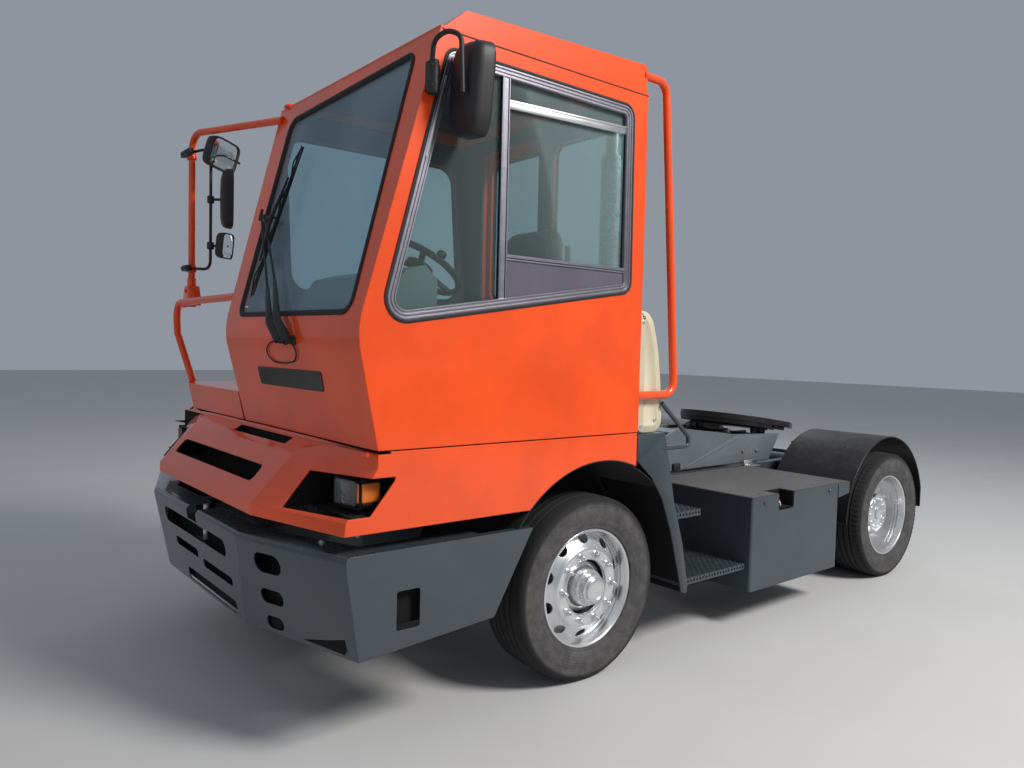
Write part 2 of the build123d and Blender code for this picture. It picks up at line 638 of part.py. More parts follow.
with BuildPart() as rear_door:
    door_station = CAB_REAR + DOOR_GAP + DOOR_THICKNESS
    with BuildSketch(front_plane(door_station)):
        with Locations((DOOR_OPENING[0], (DOOR_LOW + DOOR_HIGH) / 2)):
            Rectangle(DOOR_WIDTH, DOOR_HIGH - DOOR_LOW)
        with Locations((DOOR_OPENING[0], REAR_WINDOW[1])):
            RectangleRounded(DOOR_WIDTH - 130, REAR_WINDOW[3], REAR_WINDOW_RADIUS, mode=Mode.SUBTRACT)
    extrude(amount=DOOR_THICKNESS)
    with BuildSketch(front_plane(door_station + 22)):
        with Locations((DOOR_OPENING[0] - DOOR_WIDTH / 2 + 34, 2050)):
            RectangleRounded(26, 180, 12)
    extrude(amount=22)
save(rear_door.part, "rear_door")

with BuildPart() as rear_door_glass:
    with BuildSketch(front_plane(door_station - (DOOR_THICKNESS - GLASS) / 2)):
        with Locations((DOOR_OPENING[0], REAR_WINDOW[1])):
            RectangleRounded(
                DOOR_WIDTH - 130 - 2 * SEAT_GAP, REAR_WINDOW[3] - 2 * SEAT_GAP, REAR_WINDOW_RADIUS,
            )
    extrude(amount=GLASS)
save(rear_door_glass.part, "rear_door_glass")

# Cab glass: the windscreen, and the side and rear panes
SCREEN_INSET = 10

with BuildPart() as windscreen:
    with BuildSketch(side_plane(-WIDTH)):
        add(wall_profile(SCREEN_INSET, 0, CAB_BOTTOM, CAB_EAVES))
        add(wall_profile(SCREEN_INSET + GLASS, 1, CAB_BOTTOM - 1, CAB_EAVES + 1), mode=Mode.SUBTRACT)
    extrude(amount=2 * WIDTH)
    with BuildSketch(front_plane(0)):
        add(rounded_outline(SCREEN_CORNERS, [SCREEN_RADIUS] * 4, SEAT_GAP))
    extrude(amount=LENGTH, mode=Mode.INTERSECT)
save(windscreen.part, "windscreen")

PANE_INSET = 20

with BuildPart() as left_pane:
    with BuildSketch(side_plane(HALF_WIDTH - PANE_INSET - GLASS)):
        add(rounded_outline(SIDE_CORNERS, SIDE_RADII, SEAT_GAP))
    extrude(amount=GLASS)

with BuildPart() as right_pane:
    with BuildSketch(front_plane(CAB_REAR)):
        Polygon(
            (right_edge(CAB_BOTTOM) + PANE_INSET, CAB_BOTTOM),
            (right_edge(CAB_BOTTOM) + PANE_INSET + GLASS, CAB_BOTTOM),
            (right_edge(CAB_EAVES) + PANE_INSET + GLASS, CAB_EAVES),
            (right_edge(CAB_EAVES) + PANE_INSET, CAB_EAVES), align=None,
        )
    extrude(amount=LENGTH)
    with BuildSketch(side_plane(-WIDTH)):
        with Locations(RIGHT_WINDOW[0:2]):
            RectangleRounded(
                RIGHT_WINDOW[2] - 2 * SEAT_GAP, RIGHT_WINDOW[3] - 2 * SEAT_GAP, RIGHT_WINDOW_RADIUS,
            )
    extrude(amount=2 * WIDTH, mode=Mode.INTERSECT)

with BuildPart() as rear_pane:
    with BuildSketch(front_plane(CAB_REAR - PANE_INSET)):
        with Locations(REAR_WINDOW[0:2]):
            RectangleRounded(
                REAR_WINDOW[2] - 2 * SEAT_GAP, REAR_WINDOW[3] - 2 * SEAT_GAP, REAR_WINDOW_RADIUS,
            )
    extrude(amount=GLASS)
save(Compound([left_pane.part, right_pane.part, rear_pane.part]), "cab_glass")

# Left window frame: aluminium surround, mullion, rails and the lower infill, outside the pane
FRAME_FACE = 34
FRAME_DEPTH = PANE_INSET - SEAT_GAP
MULLION_STATION = -652
MULLION_WIDTH = 40
# The upper bar's height at the mullion and at the rear, and half its own height
UPPER_BAR = (2695, 2722, 18)
INFILL_TOP = 2055

with BuildPart() as left_window_frame:
    with BuildSketch(side_plane(HALF_WIDTH - FRAME_DEPTH)):
        add(rounded_outline(SIDE_CORNERS, SIDE_RADII, SEAT_GAP))
        inner_radii = [radius - FRAME_FACE / 2 for radius in SIDE_RADII]
        with BuildSketch(mode=Mode.SUBTRACT):
            add(rounded_outline(SIDE_CORNERS, SIDE_RADII, FRAME_FACE))
        with BuildSketch():
            window_rear = SIDE_CORNERS[1][0]
            with Locations((MULLION_STATION, (CREST[1] + CAB_EAVES) / 2)):
                Rectangle(MULLION_WIDTH, CAB_EAVES - CREST[1])
            bar_front, bar_rear, bar_half = UPPER_BAR
            Polygon(
                (MULLION_STATION, bar_front - bar_half), (MULLION_STATION, bar_front + bar_half),
                (window_rear, bar_rear + bar_half), (window_rear, bar_rear - bar_half), align=None,
            )
            with Locations(((MULLION_STATION + window_rear) / 2, (CREST[1] + INFILL_TOP) / 2)):
                Rectangle(window_rear - MULLION_STATION, INFILL_TOP - CREST[1])
            add(rounded_outline(SIDE_CORNERS, SIDE_RADII, SEAT_GAP), mode=Mode.INTERSECT)
    extrude(amount=FRAME_DEPTH - 4)
save(left_window_frame.part, "left_window_frame")

# Cab floor on the cab's walls
with BuildPart() as cab_floor:
    add(cab_block(CAB_WALL + SEAT_GAP, CAB_REAR - CAB_WALL - SEAT_GAP, CAB_BOTTOM, CAB_EAVES))
    with BuildSketch(plan_plane(FLOOR_TOP - FLOOR_THICKNESS)):
        Rectangle(2 * WIDTH, 2 * LENGTH)
    extrude(amount=-WIDTH, mode=Mode.SUBTRACT)
    with BuildSketch(plan_plane(FLOOR_TOP)):
        Rectangle(2 * WIDTH, 2 * LENGTH)
    extrude(amount=WIDTH, mode=Mode.SUBTRACT)
save(cab_floor.part, "cab_floor")

# Console below the screen, with its hood before the wheel
DRIVER_X = 640
CONSOLE = (
    (-1180, FLOOR_TOP), (-1230, 1560), (-1230, 1720), (-1060, 1960), (-960, 1990), (-900, 1930),
    (-900, 1640), (-1000, 1540), (-1020, FLOOR_TOP),
)
CONSOLE_SPAN = (260, HALF_WIDTH - 130)

with BuildPart() as dashboard:
    with BuildSketch(side_plane(CONSOLE_SPAN[0])):
        Polygon(*CONSOLE, align=None)
    extrude(amount=CONSOLE_SPAN[1] - CONSOLE_SPAN[0])
save(dashboard.part, "dashboard")

# Steering wheel on a raked column from the console
WHEEL_HUB = (-690, 2035)
WHEEL_RAKE = 32
WHEEL_RIM_RADIUS = 215
COLUMN_RADIUS = 30
COLUMN_LENGTH = 430

with BuildPart() as steering_wheel:
    rake = math.radians(WHEEL_RAKE)
    hub = Plane(
        origin=(MID_X + DRIVER_X, FRONT_AXLE_Y + WHEEL_HUB[0], WHEEL_HUB[1]),
        x_dir=(1, 0, 0), z_dir=(0, math.sin(rake), math.cos(rake)),
    )
    with BuildSketch(hub):
        Circle(70)
        for turn in (90, 210, 330):
            with Locations(Location((0, 0, 0), (0, 0, turn)) * Location((WHEEL_RIM_RADIUS / 2, 0, 0))):
                Rectangle(WHEEL_RIM_RADIUS, 28)
    extrude(amount=9, both=True)
    with BuildSketch(Plane(origin=hub.origin, x_dir=hub.x_dir, z_dir=hub.y_dir)):
        with Locations((WHEEL_RIM_RADIUS, 0)):
            RegularPolygon(16, 6)
    revolve(axis=Axis(hub.origin, hub.z_dir))
    with BuildSketch(hub.offset(-9)):
        Circle(COLUMN_RADIUS)
    extrude(amount=-COLUMN_LENGTH)
    add(dashboard.part, mode=Mode.SUBTRACT)
save(steering_wheel.part, "steering_wheel")

# Driver's seat on its pedestal
SEAT_STATION = -170
SEAT_TOP = 1780
SEAT_WIDTH = 480
SEAT_DEPTH = 470
BACK_HEIGHT = 560

with BuildPart() as driver_seat:
    with BuildSketch(plan_plane(FLOOR_TOP)):
        with Locations((DRIVER_X, SEAT_STATION)):
            RectangleRounded(300, 340, 30)
    extrude(amount=SEAT_TOP - 120 - FLOOR_TOP)
    with BuildSketch(side_plane(DRIVER_X - SEAT_WIDTH / 2)):
        cushion = (SEAT_STATION - SEAT_DEPTH / 2, SEAT_STATION + SEAT_DEPTH / 2)
        Polygon(
            (cushion[0], SEAT_TOP - 120), (cushion[0], SEAT_TOP), (cushion[1] - 100, SEAT_TOP - 20),
            (cushion[1] - 20, SEAT_TOP - 20 + BACK_HEIGHT), (cushion[1] + 80, SEAT_TOP - 20 + BACK_HEIGHT),
            (cushion[1] + 10, SEAT_TOP - 120), align=None,
        )
    extrude(amount=SEAT_WIDTH)
    fillet(driver_seat.edges().filter_by(Axis.Y, reverse=True).group_by(Axis.Z)[-1], 30)
save(driver_seat.part, "driver_seat")

# Right mirror rail: an outer hoop from the screen post, and a lower hoop to a foot on the deck
RAIL_TUBE = 21
RAIL_BEND = 95
RAIL_OUT = HALF_WIDTH - RAIL_TUBE - 9
HOOP_STATION = -1200
UPPER_HOOP = (
    (-262, -1012, 2862), (-700, -1098, 2898), (-RAIL_OUT, HOOP_STATION, 2940),
    (-RAIL_OUT, HOOP_STATION, 1900),
)
LOWER_HOOP = (
    (-205, -1255, 1890), (-RAIL_OUT, -1292, 1880), (-RAIL_OUT, -1285, 1700),
    (-RAIL_OUT, -1190, DECK_TOP),
)
SLEEVE = ((-RAIL_OUT, HOOP_STATION, 2040), (-RAIL_OUT, HOOP_STATION, 1860), 27)

with BuildPart() as mirror_rail:
    add(tube(UPPER_HOOP, RAIL_BEND, RAIL_TUBE))
    add(tube(LOWER_HOOP, RAIL_BEND, RAIL_TUBE))
    add(straight(*SLEEVE))
    add(straight((-RAIL_OUT, HOOP_STATION, 1884), (-RAIL_OUT, -1290, 1868), RAIL_TUBE))
    add(cab_shell.part, mode=Mode.SUBTRACT)
    add(cab_roof.part, mode=Mode.SUBTRACT)
    add(right_deck.part, mode=Mode.SUBTRACT)
    largest = mirror_rail.solids().sort_by(SortBy.VOLUME)[-1]
save(largest, "mirror_rail")

# Right mirrors on a bracket hooped between two clamps on the rail
MIRROR_ROD = 11
BRACKET_HEIGHTS = (2800, 2100)
MIRROR_POST_X = -1020
CLAMP_HEIGHT = 44
CLAMP_WALL = 8
MIRROR_POST_STATION = -1150
# Heads: x, station, height of the centre, then width, depth, height
RIGHT_HEADS = (
    (-900, -1140, 2745, 260, 90, 190), (-905, -1140, 2470, 190, 70, 330), (-905, -1140, 2215, 130, 70, 150),
)

with BuildPart() as right_mirrors:
    high, low = BRACKET_HEIGHTS
    for height in BRACKET_HEIGHTS:
        with BuildSketch(plan_plane(height - CLAMP_HEIGHT / 2)):
            with Locations((-RAIL_OUT, HOOP_STATION)):
                Circle(RAIL_TUBE + CLAMP_WALL)
        extrude(amount=CLAMP_HEIGHT)
    post = (MIRROR_POST_X, MIRROR_POST_STATION)
    add(tube(
        ((-RAIL_OUT, HOOP_STATION, high), (*post, high + 12), (*post, low - 12),
         (-RAIL_OUT, HOOP_STATION, low)), 60, MIRROR_ROD,
    ))
    with BuildSketch(plan_plane(0)):
        with Locations((-RAIL_OUT, HOOP_STATION)):
            Circle(RAIL_TUBE + SEAT_GAP)
    extrude(amount=CAB_EAVES, mode=Mode.SUBTRACT)
    for x, station, height, width, depth, tall in RIGHT_HEADS:
        with BuildSketch(front_plane(station - depth / 2)):
            with Locations((x, height)):
                RectangleRounded(width, tall, 28)
        extrude(amount=-depth)
        add(straight((*post, height), (x, station, height), MIRROR_ROD - 2))
save(right_mirrors.part, "right_mirrors")

# Left mirror: a looped arm from the screen post, with a tall round-cornered head
LEFT_HEAD = (HALF_WIDTH + MIRROR_REACH - 97, -890, 2680, 194, 100, 396)
LEFT_CLAMP = (HALF_WIDTH + 12, -1040)
LEFT_CLAMP_SPAN = (2637, 2775)
LEFT_CLAMP_RADIUS = 34
LEFT_ARM_END = (LEFT_HEAD[0] - 8, LEFT_HEAD[1] - 60)
LEFT_ARM = ((*LEFT_CLAMP, 2760), (*LEFT_CLAMP, 2840), (*LEFT_ARM_END, 2882), (*LEFT_ARM_END, 2690))

with BuildPart() as left_mirror:
    add(tube(LEFT_ARM, 34, MIRROR_ROD))
    x, station, height, width, depth, tall = LEFT_HEAD
    with BuildSketch(front_plane(station - depth / 2)):
        with Locations((x, height)):
            RectangleRounded(width, tall, 45)
    extrude(amount=-depth)
    add(straight((*LEFT_ARM_END, 2705), (LEFT_ARM_END[0], station, 2705), 16))
    with BuildSketch(plan_plane(LEFT_CLAMP_SPAN[0])):
        with Locations(LEFT_CLAMP):
            Circle(LEFT_CLAMP_RADIUS)
    extrude(amount=LEFT_CLAMP_SPAN[1] - LEFT_CLAMP_SPAN[0])
    add(cab_block(-SEAT_GAP, CAB_REAR, CAB_BOTTOM, CAB_EAVES), mode=Mode.SUBTRACT)
save(left_mirror.part.solids().sort_by(SortBy.VOLUME)[-1], "left_mirror")

# Handrails at the cab's rear corners
HAND_TUBE = 21
HANDRAIL = ((CAB_REAR - 20, 3020), (400, 3020), (540, 1425), (CAB_REAR - 20, 1425))
HANDRAIL_X = (HALF_WIDTH - HAND_TUBE, -146)


def handrail(x):
    with BuildPart() as rail:
        add(tube([(x, *point) for point in HANDRAIL], 70, HAND_TUBE))
        add(cab_roof.part, mode=Mode.SUBTRACT)
        add(cab_rear_wall.part, mode=Mode.SUBTRACT)
        add(cab_shell.part, mode=Mode.SUBTRACT)
    return rail.part.solids().sort_by(SortBy.VOLUME)[-1]


save(Compound([handrail(x) for x in HANDRAIL_X]), "handrails")

# Left steps: side plate and two grated treads
PLATE_THICKNESS = 8
PLATE_TOP = 1222
PLATE_FLANGE = 60
PLATE_OUTLINE = (
    (275, PLATE_TOP), (490, PLATE_TOP), (584, 841), (665, 606), (721, 364), (712, 318), (668, 330), (650, 400),
    (560, 690), (483, 870), (394, 990), (275, 1090),
)
TREAD_THICKNESS = 32
# Treads: front station, rear station, height of the top
TREADS = ((600, 830, 775), (660, 1270, 395))
TREAD_INNER_X = 780

with BuildPart() as left_steps:
    with BuildSketch(side_plane(PLATE_X)):
        Polygon(*PLATE_OUTLINE, align=None)
    extrude(amount=PLATE_THICKNESS)
    with BuildSketch(plan_plane(PLATE_TOP - PLATE_THICKNESS)):
        with Locations((PLATE_X - PLATE_FLANGE / 2, 382)):
            Rectangle(PLATE_FLANGE + 4, 216)
    extrude(amount=PLATE_THICKNESS)
    for front, rear, top in TREADS:
        with BuildSketch(plan_plane(top - TREAD_THICKNESS)):
            with Locations(((TREAD_INNER_X + PLATE_X) / 2, (front + rear) / 2)):
                Rectangle(PLATE_X - TREAD_INNER_X, rear - front)
        extrude(amount=TREAD_THICKNESS)
    with BuildSketch(side_plane(TREAD_INNER_X - PLATE_THICKNESS)):
        Polygon((620, 790), (830, 790), (1270, 400), (1270, 350), (682, 350), align=None)
    extrude(amount=PLATE_THICKNESS)
    with BuildSketch(plan_plane(700)):
        with Locations(((TREAD_INNER_X + RAIL_X) / 2, 700)):
            Rectangle(TREAD_INNER_X - RAIL_X - 2 * SEAT_GAP, 60)
    extrude(amount=60)
save(left_steps.part, "left_steps")

# Side boxes between the axles: tank and battery boxes under level deck plates
BOX_X = (500, HALF_WIDTH)
BOX_FRONT = 1276
BOX_REAR = WHEELBASE - 870
BOX_BOTTOM = 226
BOX_TOP = 784
BOX_CORNER = 14
DECK_REAR = WHEELBASE - 726
DECK_PLATE = 8
DECK_PLATE_INNER = RAIL_X + SEAT_GAP
BOX_NOTCH = (1640, 170, 95)
RIGHT_BOX_FRONT = 730


def side_box(front):
    with BuildPart() as box:
        with BuildSketch(plan_plane(BOX_BOTTOM)):
            with Locations(((BOX_X[0] + BOX_X[1]) / 2, (front + BOX_REAR) / 2)):
                Rectangle(BOX_X[1] - BOX_X[0], BOX_REAR - front)
        extrude(amount=BOX_TOP - BOX_BOTTOM)
        fillet(box.edges().filter_by(Axis.Z).group_by(Axis.X)[-1], BOX_CORNER)
        with BuildSketch(plan_plane(BOX_TOP)):
            with Locations(((DECK_PLATE_INNER + BOX_X[1]) / 2, (front + DECK_REAR) / 2)):
                Rectangle(BOX_X[1] - DECK_PLATE_INNER, DECK_REAR - front)
        extrude(amount=DECK_PLATE)
        with BuildSketch(side_plane(BOX_X[0])):
            Polygon(
                (BOX_REAR, BOX_TOP), (DECK_REAR, BOX_TOP), (DECK_REAR, BOX_TOP - 70),
                (BOX_REAR, BOX_TOP - 90), align=None,
            )
        extrude(amount=BOX_X[1] - BOX_X[0])
        with BuildSketch(side_plane(RAIL_X + SEAT_GAP)):
            with Locations((front + 60, RAIL_TOP - 130), (BOX_REAR - 60, RAIL_TOP - 130)):
                Rectangle(60, 120)
        extrude(amount=BOX_X[0] - RAIL_X - SEAT_GAP)
    return box.part


with BuildPart() as left_box:
    add(side_box(BOX_FRONT))
    with BuildSketch(side_plane(HALF_WIDTH - 110)):
        with Locations((BOX_NOTCH[0], BOX_TOP)):
            RectangleRounded(BOX_NOTCH[1], 2 * BOX_NOTCH[2], 18)
    extrude(amount=120, mode=Mode.SUBTRACT)
save(left_box.part, "left_box")
save(mirror(side_box(RIGHT_BOX_FRONT), about=MIDDLE), "right_box")

# Rear mudguards on brackets from the frame
FENDER_WALL = 6
FENDER_X = (560, 1165)
FENDER_START = 180
FENDER_SKIRT = 465
FENDER_LIP = 22

with BuildPart() as mudguard:
    with BuildSketch(side_plane(FENDER_X[0])):
        with Locations((WHEELBASE, TYRE_RADIUS)):
            start, end = math.radians(FENDER_START), math.radians(FENDER_END_ANGLE)
            far = 2 * FENDER_RADIUS
            with BuildSketch(mode=Mode.PRIVATE) as ring:
                Circle(FENDER_RADIUS)
                Circle(FENDER_RADIUS - FENDER_WALL, mode=Mode.SUBTRACT)
                Polygon(
                    (0, 0), (far * math.cos(start), far * math.sin(start)), (-far, -far), (far, -far),
                    (far * math.cos(end), far * math.sin(end)), align=None, mode=Mode.SUBTRACT,
                )
            add(ring.sketch)
        skirt_top = TYRE_RADIUS + FENDER_RADIUS * math.sin(end)
        with Locations((WHEELBASE + REAR_REACH - FENDER_WALL / 2, (FENDER_SKIRT + skirt_top) / 2)):
            Rectangle(FENDER_WALL, skirt_top - FENDER_SKIRT)
    extrude(amount=FENDER_X[1] - FENDER_X[0])
    for angle in (60, 120):
        foot = (WHEELBASE + (FENDER_RADIUS - 4) * math.cos(math.radians(angle)),
                TYRE_RADIUS + (FENDER_RADIUS - 4) * math.sin(math.radians(angle)))
        knee = (foot[0], RAIL_TOP - 60)
        with BuildSketch(side_plane(FENDER_X[0] - 8)):
            Polygon(
                (foot[0] - 25, foot[1]), (foot[0] + 25, foot[1]), (knee[0] + 25, knee[1]),
                (knee[0] - 25, knee[1]), align=None,
            )
        extrude(amount=8)
        with BuildSketch(side_plane(RAIL_X + SEAT_GAP)):
            with Locations((knee[0], knee[1] + 20)):
                Rectangle(50, 40)
        extrude(amount=FENDER_X[0] - RAIL_X - SEAT_GAP)
save(both_sides(mudguard.part), "rear_mudguards")

# Tyres: revolved about the axle line, tread left plain
# Half section from the bead out: distance from the middle of the width, radius
TYRE_HALF = ((112, RIM_RADIUS), (146, 388), (122, TYRE_RADIUS))


def axle_point(x, station):
    return at(x, station, TYRE_RADIUS)


def spin_axis(station):
    return Axis(axle_point(0, station), (1, 0, 0))


def section_plane(x, station):
    """The plane of a wheel's half section: outboard along, radius up."""
    return Plane(origin=axle_point(x, station), x_dir=(1, 0, 0), z_dir=(0, -1, 0))


def tyre(x, station):
    with BuildPart() as ring:
        with BuildSketch(section_plane(x, station)):
            right = [(distance, radius) for distance, radius in TYRE_HALF]
            left = [(-distance, radius) for distance, radius in reversed(TYRE_HALF)]
            Polygon(*right, *left, align=None)
        revolve(axis=spin_axis(station))
    return ring.part


left_front_tyre = tyre(WHEEL_X, 0)
left_rear_tyres = Compound([tyre(WHEEL_X, WHEELBASE), tyre(WHEEL_X - TWIN_SPACING, WHEELBASE)])
save(left_front_tyre, "front_tyre_left")
save(mirror(left_front_tyre, about=MIDDLE), "front_tyre_right")
save(left_rear_tyres, "rear_tyres_left")
save(mirror(left_rear_tyres, about=MIDDLE), "rear_tyres_right")

# Rims: barrel and disc, convex on the steered wheels and dished on the twins
RIM_HALF = 118
SPINDLE_RADIUS = 40
REAR_SPINDLE_RADIUS = 60
HOLE_CIRCLE = 222
FRONT_HOLES_X = 88


def hand_holes(station, x):
    """Oval hand holes through a disc near x."""
    with BuildPart() as holes:
        with BuildSketch(side_plane(x - 60)):
            with Locations((station, TYRE_RADIUS)):
                with PolarLocations(HOLE_CIRCLE, HAND_HOLES):
                    Polygon(
                        (-20, -8), (-20, 8), (-9, 26), (9, 26), (20, 8), (20, -8), (9, -26), (-9, -26),
                        align=None,
                    )
        extrude(amount=120)
    return holes.part


with BuildPart() as front_rim:
    bead = RIM_RADIUS - BEAD_GAP
    with BuildSketch(section_plane(WHEEL_X, 0)):
        Polygon(
            (-RIM_HALF, bead), (RIM_HALF, bead), (RIM_HALF, 284), (66, 264), (106, 190), (106, 120),
            (150, HUB_RADIUS), (178, HUB_RADIUS - 14), (178, 0), (150, 0), (150, SPINDLE_RADIUS + PIN_FIT),
            (-40, SPINDLE_RADIUS + PIN_FIT), (-40, 120), (94, 120), (94, 186), (50, 264),
            (-RIM_HALF, 284), align=None,
        )
    revolve(axis=spin_axis(0))
    add(hand_holes(0, WHEEL_X + FRONT_HOLES_X), mode=Mode.SUBTRACT)
save(front_rim.part, "front_rim_left")
save(mirror(front_rim.part, about=MIDDLE), "front_rim_right")

TWIN_MIDDLE = WHEEL_X - TWIN_SPACING / 2
REAR_SPINDLE_REACH = 100

with BuildPart() as rear_rims:
    far_edge = TWIN_SPACING / 2 + RIM_HALF
    near_edge = TWIN_SPACING / 2 - RIM_HALF
    bore = REAR_SPINDLE_RADIUS + PIN_FIT
    with BuildSketch(section_plane(TWIN_MIDDLE, WHEELBASE)):
        Polygon(
            (far_edge, bead), (far_edge, 284), (70, 266), (14, 190), (14, 130), (150, 118), (186, 96),
            (186, 0), (REAR_SPINDLE_REACH + 4, 0), (REAR_SPINDLE_REACH + 4, bore), (-120, bore),
            (-120, 130), (-14, 130), (-14, 190), (-70, 266), (-far_edge, 284), (-far_edge, bead),
            (-near_edge, bead), (-near_edge, 286), (near_edge, 286), (near_edge, bead), align=None,
        )
    revolve(axis=spin_axis(WHEELBASE))
    add(hand_holes(WHEELBASE, TWIN_MIDDLE), mode=Mode.SUBTRACT)
save(rear_rims.part, "rear_rims_left")
save(mirror(rear_rims.part, about=MIDDLE), "rear_rims_right")

# Steered knuckles: fork, kingpin, stub axle and track-rod arm
BEAM_BOSS_HALF = 46
FORK_ARM = 26
ARM_STATION = 210
ARM_X = KINGPIN_X
ROD_EYE_HEIGHT = TYRE_RADIUS - 76
ROD_PIN_RADIUS = 12

with BuildPart() as knuckle:
    for low in (-BEAM_BOSS_HALF - 1 - FORK_ARM, BEAM_BOSS_HALF + 1):
        with BuildSketch(plan_plane(TYRE_RADIUS + low)):
            with Locations((KINGPIN_X, 0)):
                Circle(44)
            with Locations((KINGPIN_X + 50, 0)):
                Rectangle(80, 88)
        extrude(amount=FORK_ARM)
    with BuildSketch(plan_plane(TYRE_RADIUS - BEAM_BOSS_HALF - 10)):
        with Locations((KINGPIN_X, 0)):
            Circle(KINGPIN_RADIUS)
    extrude(amount=2 * BEAM_BOSS_HALF + 20)
    with BuildSketch(side_plane(KINGPIN_X + 60)):
        with Locations((0, TYRE_RADIUS)):
            Circle(88)
    extrude(amount=30)
    with BuildSketch(side_plane(KINGPIN_X + 60)):
        with Locations((0, TYRE_RADIUS)):
            Circle(SPINDLE_RADIUS)
    extrude(amount=WHEEL_X + 146 - KINGPIN_X - 60)
    with BuildSketch(plan_plane(ROD_EYE_HEIGHT)):
        Polygon(
            (KINGPIN_X - 30, 0), (KINGPIN_X + 30, 0), (ARM_X + 24, ARM_STATION), (ARM_X - 24, ARM_STATION),
            align=None,
        )
        with Locations((ARM_X, ARM_STATION)):
            Circle(26)
    extrude(amount=24)
    with BuildSketch(plan_plane(ROD_EYE_HEIGHT - 40)):
        with Locations((ARM_X, ARM_STATION)):
            Circle(ROD_PIN_RADIUS)
    extrude(amount=50)
save(knuckle.part, "knuckle_left")
save(mirror(knuckle.part, about=MIDDLE), "knuckle_right")

# Track rod behind the front axle, an eye at each end on the arms' pins
ROD_RADIUS = 17
ROD_END_PLAY = 1

with BuildPart() as track_rod:
    rod_line = (ARM_STATION, ROD_EYE_HEIGHT - 22)
    add(straight((-ARM_X + 20, *rod_line), (ARM_X - 20, *rod_line), ROD_RADIUS))
    with BuildSketch(plan_plane(ROD_EYE_HEIGHT - 38)):
        with Locations((ARM_X, ARM_STATION), (-ARM_X, ARM_STATION)):
            Circle(30)
    extrude(amount=32)
    with BuildSketch(plan_plane(0)):
        with Locations((ARM_X, ARM_STATION)):
            Circle(ROD_PIN_RADIUS + PIN_FIT)
        with Locations((-ARM_X, ARM_STATION)):
            Circle(ROD_PIN_RADIUS + ROD_END_PLAY)
    extrude(amount=TYRE_RADIUS, mode=Mode.SUBTRACT)
save(track_rod.part, "track_rod")

# Front axle beam with its kingpin bosses
BEAM_DROP = 60
BEAM_DEPTH = 90
BEAM_HEIGHT = 84

with BuildPart() as front_axle:
    with BuildSketch(front_plane(BEAM_DEPTH / 2)):
        low = TYRE_RADIUS - BEAM_DROP
        bend = RAIL_X + 110
        Polygon(
            (-KINGPIN_X, TYRE_RADIUS + 40), (-bend, low + BEAM_HEIGHT), (bend, low + BEAM_HEIGHT),
            (KINGPIN_X, TYRE_RADIUS + 40), (KINGPIN_X, TYRE_RADIUS - 40), (bend, low),
            (-bend, low), (-KINGPIN_X, TYRE_RADIUS - 40), align=None,
        )
    extrude(amount=BEAM_DEPTH)
    with BuildSketch(plan_plane(TYRE_RADIUS - BEAM_BOSS_HALF)):
        with Locations((KINGPIN_X, 0), (-KINGPIN_X, 0)):
            Circle(44)
    extrude(amount=2 * BEAM_BOSS_HALF)
    with BuildSketch(plan_plane(0)):
        with Locations((KINGPIN_X, 0), (-KINGPIN_X, 0)):
            Circle(KINGPIN_RADIUS + PIN_FIT)
    extrude(amount=2 * TYRE_RADIUS, mode=Mode.SUBTRACT)
save(front_axle.part, "front_axle")

# Front springs: stepped leaf packs between the beam and the rails
LEAVES = 4
LEAF_THICKNESS = 13
LEAF_WIDTH = 76
LEAF_HALF = 620
LEAF_STEP = 110

with BuildPart() as front_spring:
    seat = TYRE_RADIUS - BEAM_DROP + BEAM_HEIGHT + SEAT_GAP
    with BuildSketch(side_plane(RAIL_X - RAIL_FLANGE / 2 - LEAF_WIDTH / 2)):
        for leaf in range(LEAVES):
            reach = LEAF_HALF - LEAF_STEP * (LEAVES - 1 - leaf)
            with Locations((0, seat + LEAF_THICKNESS * (leaf + 0.5))):
                Rectangle(2 * reach, LEAF_THICKNESS)
        for end in (-1, 1):
            shackle_low = seat + LEAF_THICKNESS * (LEAVES - 0.5)
            shackle_high = RAIL_BOTTOM - SEAT_GAP
            with Locations((end * (LEAF_HALF - 20), (shackle_low + shackle_high) / 2)):
                Rectangle(40, shackle_high - shackle_low)
    extrude(amount=LEAF_WIDTH)
save(both_sides(front_spring.part), "front_springs")

# Drive axle: housing, differential bulb and spindles, clamped under the rails
HOUSING_RADIUS = 78
DIFF_RADIUS = 190

with BuildPart() as rear_axle:
    with BuildSketch(section_plane(0, WHEELBASE)):
        reach = TWIN_MIDDLE - 130
        Polygon(
            (-TWIN_MIDDLE - REAR_SPINDLE_REACH, 0), (-TWIN_MIDDLE - REAR_SPINDLE_REACH, REAR_SPINDLE_RADIUS),
            (-reach, REAR_SPINDLE_RADIUS), (-reach, HOUSING_RADIUS), (-210, HOUSING_RADIUS),
            (-110, DIFF_RADIUS), (110, DIFF_RADIUS), (210, HOUSING_RADIUS), (reach, HOUSING_RADIUS),
            (reach, REAR_SPINDLE_RADIUS), (TWIN_MIDDLE + REAR_SPINDLE_REACH, REAR_SPINDLE_RADIUS),
            (TWIN_MIDDLE + REAR_SPINDLE_REACH, 0), align=None,
        )
    revolve(axis=spin_axis(WHEELBASE))
    with BuildSketch(front_plane(WHEELBASE - DIFF_RADIUS - 60)):
        with Locations((0, TYRE_RADIUS)):
            Circle(60)
    extrude(amount=-120)
    for x in (RAIL_X - RAIL_FLANGE / 2, -RAIL_X + RAIL_FLANGE / 2):
        with BuildSketch(plan_plane(TYRE_RADIUS + 30)):
            with Locations((x, WHEELBASE)):
                Rectangle(RAIL_FLANGE, 180)
        extrude(amount=RAIL_BOTTOM - SEAT_GAP - TYRE_RADIUS - 30)
save(rear_axle.part, "rear_axle")

